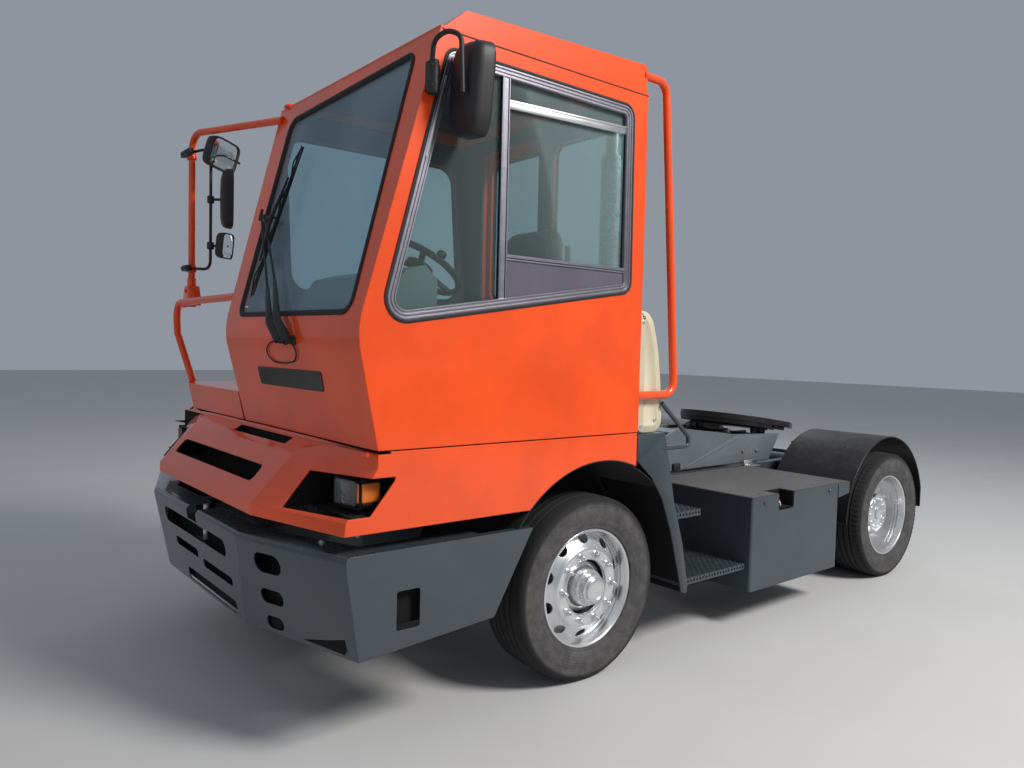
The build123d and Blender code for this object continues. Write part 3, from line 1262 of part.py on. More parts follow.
# Engine: one plain block between the rails, its feet on their tops
ENGINE = (-980, -160)
ENGINE_TOP = 1190
ENGINE_BOTTOM = 580

with BuildPart() as engine:
    with BuildSketch(front_plane(ENGINE[1])):
        half = RAIL_X - RAIL_FLANGE - 12
        Polygon(
            (-half, RAIL_TOP + 30), (-half, ENGINE_TOP), (half, ENGINE_TOP), (half, RAIL_TOP + 30),
            (half - 60, ENGINE_BOTTOM), (60 - half, ENGINE_BOTTOM), align=None,
        )
    extrude(amount=ENGINE[1] - ENGINE[0])
    with BuildSketch(plan_plane(RAIL_TOP + SEAT_GAP)):
        for x in (-1, 1):
            for station in (ENGINE[0] + 120, ENGINE[1] - 120):
                with Locations((x * (half + 30), station)):
                    Rectangle(100, 90)
    extrude(amount=50)
save(engine.part, "engine")

# Gearbox and propeller shaft to the drive axle
GEARBOX_LENGTH = 560
GEARBOX_RADIUS = 190
SHAFT_RADIUS = 42
SHAFT_START = (0, ENGINE[1] + GEARBOX_LENGTH, 600)
SHAFT_END = (0, WHEELBASE - DIFF_RADIUS - 60 - SEAT_GAP, TYRE_RADIUS)

with BuildPart() as driveline:
    with BuildSketch(front_plane(ENGINE[1] + SEAT_GAP)):
        with Locations((0, 690)):
            Circle(GEARBOX_RADIUS)
    with BuildSketch(front_plane(ENGINE[1] + GEARBOX_LENGTH)):
        with Locations((0, 640)):
            Circle(120)
    loft()
    add(straight(SHAFT_START, SHAFT_END, SHAFT_RADIUS))
    trim = Plane(origin=at(*SHAFT_END), z_dir=(0, 1, 0))
    split(bisect_by=trim, keep=Keep.BOTTOM)
save(driveline.part, "driveline")

# Lift boom: two side plates on pins in the frame's brackets, a hood and a cross tube
BOOM_PLATE = 22
BOOM_PLATE_X = BOOM_BRACKET_X - BOOM_BRACKET_WIDTH / 2 - 2 - BOOM_PLATE
BOOM_FOOT = RAIL_TOP + 12
BOOM_OUTLINE = (
    (1300, 830), (1300, 1000), (1640, 1112), (2290, 1036), (2880, 1012), (2740, BOOM_FOOT),
    (1640, BOOM_FOOT),
)
HOOD_OUTLINE = ((1640, 1046), (1640, 1072), (1850, 1072), (2230, 1030), (2230, 1004), (1850, 1046))
BOOM_TUBE = (2250, 900)
BOOM_TUBE_RADIUS = 45
FIFTH_PIVOT = (2740, 1040)
FIFTH_PIN_RADIUS = 25
EAR_BEAM = (2700, 930)
EAR_BEAM_SIZE = 60
END_PLATE = (2800, 950)
FIFTH_EAR_X = 300
FIFTH_EAR_WIDTH = 40

with BuildPart() as lift_boom:
    with BuildSketch(side_plane(BOOM_PLATE_X)):
        Polygon(*BOOM_OUTLINE, align=None)
    plates = extrude(amount=BOOM_PLATE)
    mirror(plates, about=MIDDLE)
    with BuildSketch(side_plane(BOOM_PLATE_X)):
        with Locations(BOOM_PIVOT):
            Circle(BOOM_PIN_RADIUS)
    pins = extrude(amount=BOOM_PLATE + 2 + BOOM_BRACKET_WIDTH + 12)
    mirror(pins, about=MIDDLE)
    with BuildSketch(side_plane(-BOOM_PLATE_X)):
        Polygon(*HOOD_OUTLINE, align=None)
        with Locations(BOOM_TUBE):
            Circle(BOOM_TUBE_RADIUS)
        with Locations(END_PLATE):
            Rectangle(20, 100)
        with Locations(EAR_BEAM):
            Rectangle(EAR_BEAM_SIZE, EAR_BEAM_SIZE)
    extrude(amount=2 * BOOM_PLATE_X)
    # The fifth wheel's ears stand on the rear cross beam and the end plate
    for hand in (1, -1):
        with BuildSketch(side_plane(hand * FIFTH_EAR_X - FIFTH_EAR_WIDTH / 2)):
            ear_foot = EAR_BEAM[1] - EAR_BEAM_SIZE / 2
            Polygon(
                (EAR_BEAM[0] - EAR_BEAM_SIZE / 2, ear_foot), (END_PLATE[0], ear_foot),
                (FIFTH_PIVOT[0] + 40, FIFTH_PIVOT[1]), (FIFTH_PIVOT[0] - 40, FIFTH_PIVOT[1]), align=None,
            )
            with Locations(FIFTH_PIVOT):
                Circle(40)
                Circle(FIFTH_PIN_RADIUS + PIN_FIT, mode=Mode.SUBTRACT)
        extrude(amount=FIFTH_EAR_WIDTH)
save(lift_boom.part, "lift_boom")

# Fifth wheel: a round-fronted plate with rear ramps, a throat and the kingpin's seat
PLATE_HALF = 420
PLATE_DEPTH = 44
PLATE_RISE = 52
PLATE_WIDEST_REAR = 260
FIFTH_TILT = 8
RAMP_LENGTH = 480
THROAT_RADIUS = 25.6
THROAT_STATION = 60
THROAT_CLOSE = 19
THROAT_MOUTH = 250


def fifth_plane(offset):
    """A plane parallel to the tilted plate: x across, distance behind the pivot up the page."""
    slope = math.radians(FIFTH_TILT)
    rise = PLATE_RISE + offset
    return Plane(
        origin=at(0, FIFTH_PIVOT[0] + rise * math.sin(slope), FIFTH_PIVOT[1] + rise * math.cos(slope)),
        x_dir=(1, 0, 0), z_dir=(0, math.sin(slope), math.cos(slope)),
    )


with BuildPart() as fifth_wheel:
    with BuildSketch(fifth_plane(0)):
        with Locations((0, THROAT_STATION)):
            Circle(PLATE_HALF)
        with Locations((0, (THROAT_STATION + PLATE_WIDEST_REAR) / 2)):
            Rectangle(2 * PLATE_HALF, PLATE_WIDEST_REAR - THROAT_STATION)
        Polygon(
            (-PLATE_HALF, THROAT_STATION + 100), (PLATE_HALF, THROAT_STATION + 100),
            (PLATE_HALF, PLATE_WIDEST_REAR), (PLATE_HALF - 110, RAMP_LENGTH),
            (110 - PLATE_HALF, RAMP_LENGTH), (-PLATE_HALF, PLATE_WIDEST_REAR), align=None,
        )
        with Locations((0, THROAT_STATION)):
            Circle(THROAT_RADIUS, mode=Mode.SUBTRACT)
        Polygon(
            (-THROAT_RADIUS, THROAT_STATION + THROAT_CLOSE), (THROAT_RADIUS, THROAT_STATION + THROAT_CLOSE),
            (THROAT_MOUTH, RAMP_LENGTH + 1), (-THROAT_MOUTH, RAMP_LENGTH + 1), align=None,
            mode=Mode.SUBTRACT,
        )
    extrude(amount=PLATE_DEPTH)
    with BuildSketch(fifth_plane(-30)):
        with Locations((0, -130)):
            Rectangle(560, 24)
        with Locations((180, 240), (-180, 240)):
            Rectangle(24, 330)
    extrude(amount=31)
    for hand in (1, -1):
        for low in (FIFTH_EAR_X - FIFTH_EAR_WIDTH / 2 - 25, FIFTH_EAR_X + FIFTH_EAR_WIDTH / 2 + 1):
            with BuildSketch(side_plane(hand * (low + 12) - 12)):
                with Locations(FIFTH_PIVOT):
                    Circle(38)
                    with Locations(Location((0, 0, 0), (0, 0, -FIFTH_TILT)) * Location((0, 30, 0))):
                        Rectangle(76, 60)
            extrude(amount=24)
        with BuildSketch(side_plane(hand * FIFTH_EAR_X - FIFTH_EAR_WIDTH)):
            with Locations(FIFTH_PIVOT):
                Circle(FIFTH_PIN_RADIUS)
        extrude(amount=2 * FIFTH_EAR_WIDTH)
save(fifth_wheel.part, "fifth_wheel")

# Lift cylinders: barrels pinned in the frame, rods to the boom's cross tube
CYLINDER_X = 200
BARREL_RADIUS = 50
ROD_BAR_RADIUS = 28
BARREL_LENGTH = 400
GLAND_LENGTH = 30
EYE_WIDTH = 50
EYE_RADIUS = 42
ROD_EYE_PLAY = 8


def cylinder_line():
    run = Vector(0, BOOM_TUBE[0] - LIFT_PIN[0], BOOM_TUBE[1] - LIFT_PIN[1])
    return run.normalized(), run.length


def cylinder_plane(x, along):
    direction, _ = cylinder_line()
    start = Vector(*at(x, *LIFT_PIN)) + direction * along
    return Plane(origin=start, z_dir=direction)


def eye(x, centre, radius):
    with BuildPart() as ring:
        with BuildSketch(side_plane(x - EYE_WIDTH / 2)):
            with Locations(centre):
                Circle(radius)
        extrude(amount=EYE_WIDTH)
    return ring.part


def bore_cut(x, centre, bore):
    with BuildPart() as cut:
        with BuildSketch(side_plane(x - EYE_WIDTH)):
            with Locations(centre):
                Circle(bore)
        extrude(amount=2 * EYE_WIDTH)
    return cut.part


def barrel(x):
    with BuildPart() as body:
        add(eye(x, LIFT_PIN, EYE_RADIUS))
        with BuildSketch(cylinder_plane(x, 30)):
            Circle(BARREL_RADIUS)
        extrude(amount=BARREL_LENGTH - 30)
        with BuildSketch(cylinder_plane(x, 70)):
            Circle(ROD_BAR_RADIUS + PIN_FIT)
        extrude(amount=BARREL_LENGTH, mode=Mode.SUBTRACT)
        add(bore_cut(x, LIFT_PIN, LIFT_PIN_RADIUS + PIN_FIT), mode=Mode.SUBTRACT)
    return body.part


def rod(x):
    _, reach = cylinder_line()
    with BuildPart() as body:
        bore = BOOM_TUBE_RADIUS + ROD_EYE_PLAY
        add(eye(x, BOOM_TUBE, bore + 16))
        with BuildSketch(cylinder_plane(x, 80)):
            Circle(ROD_BAR_RADIUS)
        extrude(amount=reach - 80)
        add(bore_cut(x, BOOM_TUBE, bore), mode=Mode.SUBTRACT)
    return body.part


save(Compound([barrel(CYLINDER_X), barrel(-CYLINDER_X)]), "lift_barrels")
save(Compound([rod(CYLINDER_X), rod(-CYLINDER_X)]), "lift_rods")

# Exhaust stack behind the cab: post, arm, pipe and its round guard
STACK = (HALF_WIDTH - 370, 390)
STACK_PIPE = 42
STACK_GUARD = 65
STACK_TOP = 2960
STACK_ARM = 1050
GUARD_SPAN = (1420, 2700)

with BuildPart() as exhaust_stack:
    with BuildSketch(plan_plane(RAIL_TOP + SEAT_GAP)):
        with Locations((RAIL_X - RAIL_FLANGE / 2, STACK[1] + 40)):
            Rectangle(60, 60)
    extrude(amount=STACK_ARM + 30 - RAIL_TOP - SEAT_GAP)
    with BuildSketch(plan_plane(STACK_ARM)):
        with Locations(((RAIL_X + STACK[0]) / 2, STACK[1] + 40)):
            Rectangle(STACK[0] - RAIL_X + 120, 60)
    extrude(amount=30)
    with BuildSketch(plan_plane(STACK_ARM)):
        with Locations(STACK):
            Circle(STACK_PIPE)
    extrude(amount=STACK_TOP - STACK_ARM)
    with BuildSketch(plan_plane(GUARD_SPAN[0])):
        with Locations(STACK):
            Circle(STACK_GUARD)
    extrude(amount=GUARD_SPAN[1] - GUARD_SPAN[0])
    with BuildSketch(plan_plane(GUARD_SPAN[0] + 8)):
        with Locations(STACK):
            Circle(STACK_GUARD - 4)
            Circle(STACK_PIPE, mode=Mode.SUBTRACT)
    extrude(amount=GUARD_SPAN[1] - GUARD_SPAN[0] - 16, mode=Mode.SUBTRACT)
    slant = Plane(origin=at(STACK[0], STACK[1], STACK_TOP - 60), z_dir=(0, -0.5, 1))
    split(bisect_by=slant, keep=Keep.BOTTOM)
save(exhaust_stack.part, "exhaust_stack")

# Tail lamps beside the rails' ends
with BuildPart() as tail_lamp:
    with BuildSketch(front_plane(FRAME_REAR - 10)):
        with Locations(((RAIL_X + SEAT_GAP + 572) / 2, RAIL_TOP - 60)):
            RectangleRounded(572 - RAIL_X - SEAT_GAP, 100, 8)
    extrude(amount=50)
save(both_sides(tail_lamp.part), "tail_lamps")

# Cream side panel on the step plate, and the grab loop behind it
PANEL_STATIONS = (288, 487)
PANEL_TOP = 1858
PANEL_THICKNESS = 34
PANEL_X = HANDRAIL_X[0] - HAND_TUBE - FREE_GAP - 1 - PANEL_THICKNESS

with BuildPart() as side_panel:
    panel_low = PLATE_TOP + SEAT_GAP
    with BuildSketch(side_plane(PANEL_X)):
        add(rounded_outline(
            ((PANEL_STATIONS[0], panel_low), (PANEL_STATIONS[1], panel_low),
             (PANEL_STATIONS[1], PANEL_TOP), (PANEL_STATIONS[0], PANEL_TOP)), (40, 95, 40, 40),
        ))
    extrude(amount=PANEL_THICKNESS)
    chamfer(side_panel.faces().sort_by(Axis.X)[-1].edges(), 8)
save(side_panel.part, "side_panel")

GRAB_RADIUS = 12
GRAB = ((PANEL_STATIONS[1] - 20, 1378), (698, 1188), (696, 1138), (475, 1138))
GRAB_X = PLATE_X + PLATE_THICKNESS / 2 - GRAB_RADIUS / 2

with BuildPart() as grab_loop:
    add(tube([(GRAB_X, *point) for point in GRAB], 26, GRAB_RADIUS))
    add(side_panel.part, mode=Mode.SUBTRACT)
    add(left_steps.part, mode=Mode.SUBTRACT)
save(grab_loop.part.solids().sort_by(SortBy.VOLUME)[-1], "grab_loop")

# Screen wiper: two parallel arms from one foot and a long blade
SCREEN_LEAN = (EAVES_FRONT[0] - CREST[0]) / (CAB_EAVES - CREST[1])
WIPER_OFF = 38
# Arm ends: x and height at the pivot, x and height at the link to the blade
WIPER_ARMS = ((570, 1665, -40, 2290), (655, 1665, 10, 2283))
WIPER_LINK = ((-40, 2290), (152, 2262))
WIPER_BLADE = ((108, 1880), (192, 2625))


def before_screen(x, height, off):
    """A point before the sloping screen at the given distance off it."""
    return (x, CREST[0] - off + SCREEN_LEAN * max(height - CREST[1], 0), height)


with BuildPart() as wiper:
    for pivot_x, pivot_height, blade_x, blade_height in WIPER_ARMS:
        pivot = (pivot_x, pivot_height)
        add(straight(before_screen(*pivot, -40), before_screen(*pivot, WIPER_OFF), 14))
        add(straight(
            before_screen(*pivot, WIPER_OFF - 8), before_screen(blade_x, blade_height, WIPER_OFF), 8,
        ))
    link_start, link_end = WIPER_LINK
    add(straight(before_screen(*link_start, WIPER_OFF), before_screen(*link_end, WIPER_OFF - 4), 10))
    add(straight(*[before_screen(*end, WIPER_OFF - 14) for end in WIPER_BLADE], 10))
    add(cab_shell.part, mode=Mode.SUBTRACT)
save(wiper.part, "wiper")
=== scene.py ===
"""Looks of the terminal tractor, laid out as a Blender add-on and run as a script."""

import math
from itertools import product

import bmesh
import bpy
from mathutils import Matrix, Vector


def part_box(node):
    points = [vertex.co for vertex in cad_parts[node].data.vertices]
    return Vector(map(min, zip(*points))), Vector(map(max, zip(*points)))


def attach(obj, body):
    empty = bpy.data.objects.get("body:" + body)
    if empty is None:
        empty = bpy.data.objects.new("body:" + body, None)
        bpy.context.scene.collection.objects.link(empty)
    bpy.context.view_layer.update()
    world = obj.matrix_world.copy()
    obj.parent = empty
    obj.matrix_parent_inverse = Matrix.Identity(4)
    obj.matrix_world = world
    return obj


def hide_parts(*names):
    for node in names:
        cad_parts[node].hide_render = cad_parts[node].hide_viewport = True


bl_info = {
    "name": "Terminal tractor looks",
    "version": (1, 0, 0),
    "blender": (4, 5, 0),
    "location": "3D View > Sidebar > Tractor",
    "description": "Dresses the packed terminal tractor with detailed pieces and finishes",
    "category": "Object",
}

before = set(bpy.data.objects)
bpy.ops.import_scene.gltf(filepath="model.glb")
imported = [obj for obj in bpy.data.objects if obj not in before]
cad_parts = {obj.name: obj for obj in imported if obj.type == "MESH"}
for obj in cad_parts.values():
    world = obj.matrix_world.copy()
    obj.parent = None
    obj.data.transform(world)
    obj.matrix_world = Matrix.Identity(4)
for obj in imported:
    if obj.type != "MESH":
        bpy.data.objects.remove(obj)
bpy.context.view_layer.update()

# Drawing frame: millimetres across the body, behind the front axle and above the ground
TYRE_LOW, TYRE_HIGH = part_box("front_tyre_left")
FAR_TYRE_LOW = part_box("front_tyre_right")[0]
AXLE_Y = (TYRE_LOW.y + TYRE_HIGH.y) / 2
MIDDLE_X = (FAR_TYRE_LOW.x + TYRE_HIGH.x) / 2
TYRE_RADIUS = (TYRE_HIGH.z - TYRE_LOW.z) * 500
REAR_STATION = 3140


def place(x, station, height):
    """A drawing point as a point of the row frame, in metres."""
    return Vector((MIDDLE_X + x / 1000, AXLE_Y + station / 1000, height / 1000))


# Materials


class Socket:
    """An output of a material's node that takes part in plain arithmetic."""

    def __init__(self, finish, output):
        self.finish = finish
        self.output = output

    def maths(self, operation, *values):
        return self.finish.node("ShaderNodeMath", {"operation": operation}, dict(enumerate(values)))

    def __add__(self, other):
        return self.maths("ADD", self, other)

    def __radd__(self, other):
        return self.maths("ADD", other, self)

    def __sub__(self, other):
        return self.maths("SUBTRACT", self, other)

    def __rsub__(self, other):
        return self.maths("SUBTRACT", other, self)

    def __mul__(self, other):
        return self.maths("MULTIPLY", self, other)

    def __rmul__(self, other):
        return self.maths("MULTIPLY", other, self)

    def __truediv__(self, other):
        return self.maths("DIVIDE", self, other)

    def __pow__(self, other):
        return self.maths("POWER", self, other)

    def sine(self):
        return self.maths("SINE", self)

    def least(self, other):
        return self.maths("MINIMUM", self, other)

    def most(self, other):
        return self.maths("MAXIMUM", self, other)

    def wave(self, step):
        """A value from 0 to 1 and back over each step."""
        return self.maths("PINGPONG", self, step / 2) / (step / 2)

    def band(self, low, high):
        """Rises smoothly from 0 at low to 1 at high."""
        return self.finish.node(
            "ShaderNodeMapRange", {"interpolation_type": "SMOOTHSTEP"},
            {"Value": self, "From Min": low, "From Max": high, "To Min": 0.0, "To Max": 1.0},
        )


class Finish:
    """A material whose principled shader is fed by expressions."""

    def __init__(self, name, **constants):
        self.material = bpy.data.materials.new(name)
        self.material.use_nodes = True
        self.tree = self.material.node_tree
        self.shader = self.tree.nodes["Principled BSDF"]
        self.output = self.tree.nodes["Material Output"]
        for label, value in constants.items():
            self.shader.inputs[label.replace("_", " ").title().replace("Ior", "IOR")].default_value = value

    def node(self, kind, settings=None, inputs=None, output=0):
        """Adds a node, sets it up, joins its sockets and returns one of its outputs."""
        made = self.tree.nodes.new(kind)
        for label, value in (settings or {}).items():
            setattr(made, label, value)
        for label, value in (inputs or {}).items():
            self.join(value, made.inputs[label])
        return Socket(self, made.outputs[output])

    def join(self, value, socket):
        if isinstance(value, Socket):
            self.tree.links.new(value.output, socket)
        else:
            socket.default_value = value

    def feed(self, **inputs):
        for label, value in inputs.items():
            self.join(value, self.shader.inputs[label.replace("_", " ").title()])

    def coordinates(self):
        return self.node("ShaderNodeTexCoord", output="Object")

    def axes(self):
        """The three axes of the row frame as sockets, in metres."""
        parts = self.node("ShaderNodeSeparateXYZ", None, {0: self.coordinates()}).output.node
        return [Socket(self, output) for output in parts.outputs]

    def noise(self, scale, detail=3.0, rough=0.55, stretch=None):
        where = self.coordinates()
        if stretch:
            where = self.node("ShaderNodeVectorMath", {"operation": "MULTIPLY"}, {0: where, 1: stretch})
        return self.node(
            "ShaderNodeTexNoise", None,
            {"Vector": where, "Scale": scale, "Detail": detail, "Roughness": rough},
        )

    def cells(self, scale):
        inputs = {"Vector": self.coordinates(), "Scale": scale}
        return self.node("ShaderNodeTexVoronoi", {"feature": "F1"}, inputs, "Distance")

    def mix(self, first, second, factor):
        """A blend of two colours."""
        made = self.tree.nodes.new("ShaderNodeMix")
        made.data_type = "RGBA"
        self.join(factor, made.inputs[0])
        self.join(first, made.inputs[6])
        self.join(second, made.inputs[7])
        return Socket(self, made.outputs[2])

    def upward(self):
        """1 where a surface faces the sky, 0 where it stands or faces down."""
        normal = self.node("ShaderNodeNewGeometry", output="Normal")
        parts = self.node("ShaderNodeSeparateXYZ", None, {0: normal}).output.node
        return Socket(self, parts.outputs[2]).band(0.3, 0.95)

    def soft_edges(self, radius):
        """Normals that round the sharp edges, for the highlight along them."""
        return self.node("ShaderNodeBevel", {"samples": 4}, {"Radius": radius})

    def bump(self, height, strength, distance=0.001, normal=None):
        inputs = {"Height": height, "Strength": strength, "Distance": distance}
        if normal:
            inputs["Normal"] = normal
        self.feed(Normal=self.node("ShaderNodeBump", None, inputs))

    def through(self, clear, factor):
        """Lets light through the principled layer by a factor of 1 for all of it."""
        window = self.node("ShaderNodeBsdfTransparent", None, {"Color": clear})
        mixed = self.tree.nodes.new("ShaderNodeMixShader")
        self.join(factor, mixed.inputs[0])
        self.tree.links.new(self.shader.outputs[0], mixed.inputs[1])
        self.tree.links.new(window.output, mixed.inputs[2])
        self.tree.links.new(mixed.outputs[0], self.output.inputs[0])


def shade(colour, factor):
    return (*(min(1.0, part * factor) for part in colour[:3]), 1.0)


DUST = (0.30, 0.28, 0.25, 1.0)
INNER_TRIM = (0.085, 0.080, 0.090, 1.0)
GRIME = (0.045, 0.04, 0.038, 1.0)
RUST = (0.16, 0.075, 0.035, 1.0)
# Painted shade: the near-black colour inside the pierced guard's holes
HOLE_SHADE = (0.008, 0.008, 0.008, 1.0)

# Outline of the cab, as in the part's source
HALF_WIDTH = 1250
CREST = (-1346, 1706)
CAB_BOTTOM = 1240
CAB_REAR = 245
CAB_EAVES = 2918
CAB_RIGHT_LOW = -150
SCREEN_LEAN = 353 / 1212
FRONT_LEAN = 101 / 466
RIGHT_LEAN = 180 / 1678


def paint(name, colour, roughness, coat, dust, chips, peel=0.05, edge=0.004, metallic=0.0, inside=None):
    """Sprayed paint: slight clouds in the colour, orange peel, dust on ledges, dark scuffs in random patches
    and softly rounded edges.

    Where inside is given, it returns 1 on the faces that carry the cab's inner trim.
    """
    made = Finish(name, coat_roughness=0.05, specular_ior_level=0.25, metallic=metallic)
    clouds = made.noise(2.2, 4.0)
    fine = made.noise(45.0, 5.0, 0.7)
    base = made.mix(shade(colour, 0.9), shade(colour, 1.08), clouds.band(0.3, 0.7))
    settled = (made.upward() * dust + made.axes()[2].band(0.9, 0.1) * dust * 0.6) * fine.band(0.25, 0.8)
    base = made.mix(base, DUST, settled)
    scuffs = made.noise(14.0, 8.0, 0.75).band(0.70 - chips, 0.74 - chips) * chips
    base = made.mix(base, GRIME, scuffs * 3)
    gloss = (coat * (1 - settled * 1.6)).most(0.0)
    if inside:
        trim = inside(made)
        base = made.mix(base, INNER_TRIM, trim)
        gloss = gloss * (1 - trim)
    made.feed(
        base_color=base,
        roughness=roughness + clouds * 0.06 + settled * 0.5 + scuffs,
        coat_weight=gloss,
    )
    made.bump(made.noise(380.0, 2.0), peel, 0.0004, made.soft_edges(edge))
    return made.material


def inside_shell(made):
    """1 on the faces of the cab's shell that look into the cabin."""
    x, y, z = made.axes()
    above = z - place(0, 0, CREST[1]).z
    front = place(0, CREST[0], 0).y + (above * SCREEN_LEAN).most(above * -FRONT_LEAN)
    behind = (y - front).band(0.024, 0.030)
    left = (x - place(HALF_WIDTH - 24, 0, 0).x).band(0.0, -0.006)
    right = (x - place(CAB_RIGHT_LOW, 0, 0).x + (z - CAB_BOTTOM / 1000) * RIGHT_LEAN).band(0.024, 0.030)
    return behind * left * right


def inside_rear_wall(made):
    """1 on the cabin's side of the rear wall."""
    return (made.axes()[1] - place(0, CAB_REAR - 24, 0).y).band(0.0, -0.006)


def inside_roof(made):
    """1 on the roof's lining."""
    return made.node("ShaderNodeSeparateXYZ", None, {
        0: made.node("ShaderNodeNewGeometry", output="Normal")}, "Z").band(-0.5, -0.9)


def rough_metal(name, colour, grit, grease):
    """Cast or forged iron under old paint, with grime in patches and a little rust."""
    made = Finish(name, metallic=0.0)
    patches = made.noise(7.0, 6.0, 0.65)
    rust = made.noise(19.0, 7.0, 0.7).band(0.60, 0.72)
    base = made.mix(shade(colour, 0.65), shade(colour, 1.35), patches.band(0.3, 0.7))
    base = made.mix(base, RUST, rust * 0.45)
    made.feed(base_color=base, roughness=0.72 - patches.band(0.45, 0.6) * grease + rust * 0.15)
    made.bump(made.noise(160.0, 6.0, 0.7), grit, 0.0012, made.soft_edges(0.004))
    return made.material


def bare_metal(name, colour, roughness, stretch, brushed):
    """Bright metal with fine drawn lines and clouds of use."""
    made = Finish(name, metallic=1.0)
    lines = made.noise(60.0, 4.0, 0.6, stretch)
    clouds = made.noise(9.0, 4.0)
    base = made.mix(shade(colour, 0.82), shade(colour, 1.1), lines)
    made.feed(base_color=base, roughness=roughness + clouds * 0.12 + lines * brushed)
    made.bump(lines, 0.12, 0.0003, made.soft_edges(0.002))
    return made.material


def plastic(name, colour, roughness, grain, dust=0.15):
    """Moulded plastic with a fine leather grain and paler dust on what faces up."""
    made = Finish(name, specular_ior_level=0.4)
    clouds = made.noise(5.0, 4.0)
    settled = made.upward() * made.noise(24.0, 6.0, 0.7).band(0.3, 0.8) * dust
    base = made.mix(shade(colour, 0.82), shade(colour, 1.2), clouds)
    made.feed(
        base_color=made.mix(base, DUST, settled),
        roughness=roughness + clouds * 0.12 + settled * 0.4,
    )
    made.bump(made.cells(520.0), grain, 0.0005, made.soft_edges(0.003))
    return made.material


def tyre_rubber(name, colour, dust_colour, axle_station):
    """Rubber with a dusty sidewall whose tone follows the radius from the axle."""
    made = Finish(name, specular_ior_level=0.35)
    _, y, z = made.axes()
    centre = place(0, axle_station, TYRE_RADIUS)
    radius = ((y - centre.y) ** 2 + (z - centre.z) ** 2) ** 0.5 * 1000
    clouds = made.noise(6.0, 6.0, 0.65)
    grit = made.noise(70.0, 5.0, 0.7)
    wall = radius.band(TYRE_RADIUS - 22, TYRE_RADIUS - 48)
    worn = radius.band(TYRE_RADIUS - 6, TYRE_RADIUS - 1)
    base = made.mix(shade(colour, 0.8), shade(colour, 1.3), clouds)
    spots = made.noise(17.0, 6.0, 0.7).band(0.35, 0.7)
    base = made.mix(base, dust_colour, (wall * 0.55 + worn * 0.07) * (0.25 + clouds * 0.5 + spots * 0.5))
    base = made.mix(base, shade(colour, 0.6), (radius * 0.45).sine().band(0.86, 1.0) * wall * 0.5)
    made.feed(base_color=base, roughness=0.78 + grit * 0.15)
    made.bump(grit, 0.25, 0.001)
    return made.material


def woven(name, colour, thread):
    """Woven seat cloth: two crossed sets of threads under a soft sheen."""
    made = Finish(name, roughness=0.92, sheen_weight=0.25, sheen_roughness=0.6)
    x, y, z = made.axes()
    weave = x.wave(thread) * (y + z).wave(thread)
    clouds = made.noise(8.0, 5.0)
    base = made.mix(shade(colour, 0.55), shade(colour, 1.5), weave * 0.7 + clouds * 0.3)
    made.feed(base_color=base)
    made.bump(weave + made.noise(300.0) * 0.3, 0.45, 0.0008)
    return made.material


def clear_glass(name, tint_and_sky, smoke, dirt):
    """Thin glass: mirrors the sky at grazing angles, partly by its own gloss and partly by a pale base colour
    that is a painted reflection of the sky, with faint dirt and wiped arcs.
    """
    made = Finish(name, roughness=0.04, metallic=0.0, specular_ior_level=0.6)
    glancing = made.node("ShaderNodeLayerWeight", None, {"Blend": 0.32}, "Fresnel")
    streaks = made.noise(2.0, 3.0, 0.5, (1.0, 1.0, 0.35)).band(0.45, 0.8)
    # painted reflection: the pale tint in the base colour stands for the sky seen in the glass
    made.feed(base_color=made.mix(shade(tint_and_sky, 0.75), shade(tint_and_sky, 0.95), streaks))
    covered = (smoke + glancing * 0.22 + streaks * dirt).least(0.8)
    made.through(shade(tint_and_sky, 1.0), 1 - covered)
    return made.material


def lens(name, colour, ribs, through):
    """Lamp lens with fine upright flutes."""
    made = Finish(name, roughness=0.08, specular_ior_level=0.6, coat_weight=0.6)
    x, y, _ = made.axes()
    flute = (x + y).wave(ribs)
    made.feed(base_color=made.mix(shade(colour, 0.75), shade(colour, 1.2), flute))
    made.bump(flute, 0.5, 0.0015)
    if through:
        made.through(shade(colour, 1.0), through + flute * 0.1)
    return made.material


def pierced_steel(name, colour, pitch):
    """Stainless guard pierced with small round holes, coloured near-black inside as painted shade."""
    made = Finish(name, metallic=1.0)
    holes = made.cells(1 / pitch)
    clouds = made.noise(6.0, 4.0)
    # painted shade: the holes are coloured near-black for the shade inside them
    shaded_holes = holes.band(0.34, 0.28)
    base = made.mix(shade(colour, 0.8), shade(colour, 1.1), clouds)
    made.feed(
        base_color=made.mix(base, HOLE_SHADE, shaded_holes),
        roughness=0.3 + clouds * 0.2 + shaded_holes * 0.5, metallic=1 - shaded_holes,
    )
    made.bump(shaded_holes * -1, 0.6, 0.002)
    return made.material


# Shapes


def turned(angle, distance, centre):
    """A point at an angle in degrees and a distance round a centre."""
    return (
        centre[0] + distance * math.cos(math.radians(angle)),
        centre[1] + distance * math.sin(math.radians(angle)),
    )


def rounded(points, radius, steps=6, closed=False):
    """A bent line whose corners are turned with short arcs."""
    spots = [Vector(point) for point in points]
    last = len(spots) - 1
    line = []
    for index, spot in enumerate(spots):
        if not closed and index in (0, last):
            line.append(spot)
            continue
        before = spots[index - 1] - spot
        after = spots[(index + 1) % len(spots)] - spot
        reach = min(radius, before.length * 0.45, after.length * 0.45)
        first = spot + before.normalized() * reach
        final = spot + after.normalized() * reach
        for step in range(steps + 1):
            share = step / steps
            line.append(
                first * (1 - share) ** 2 + spot * 2 * share * (1 - share) + final * share ** 2
            )
    return line


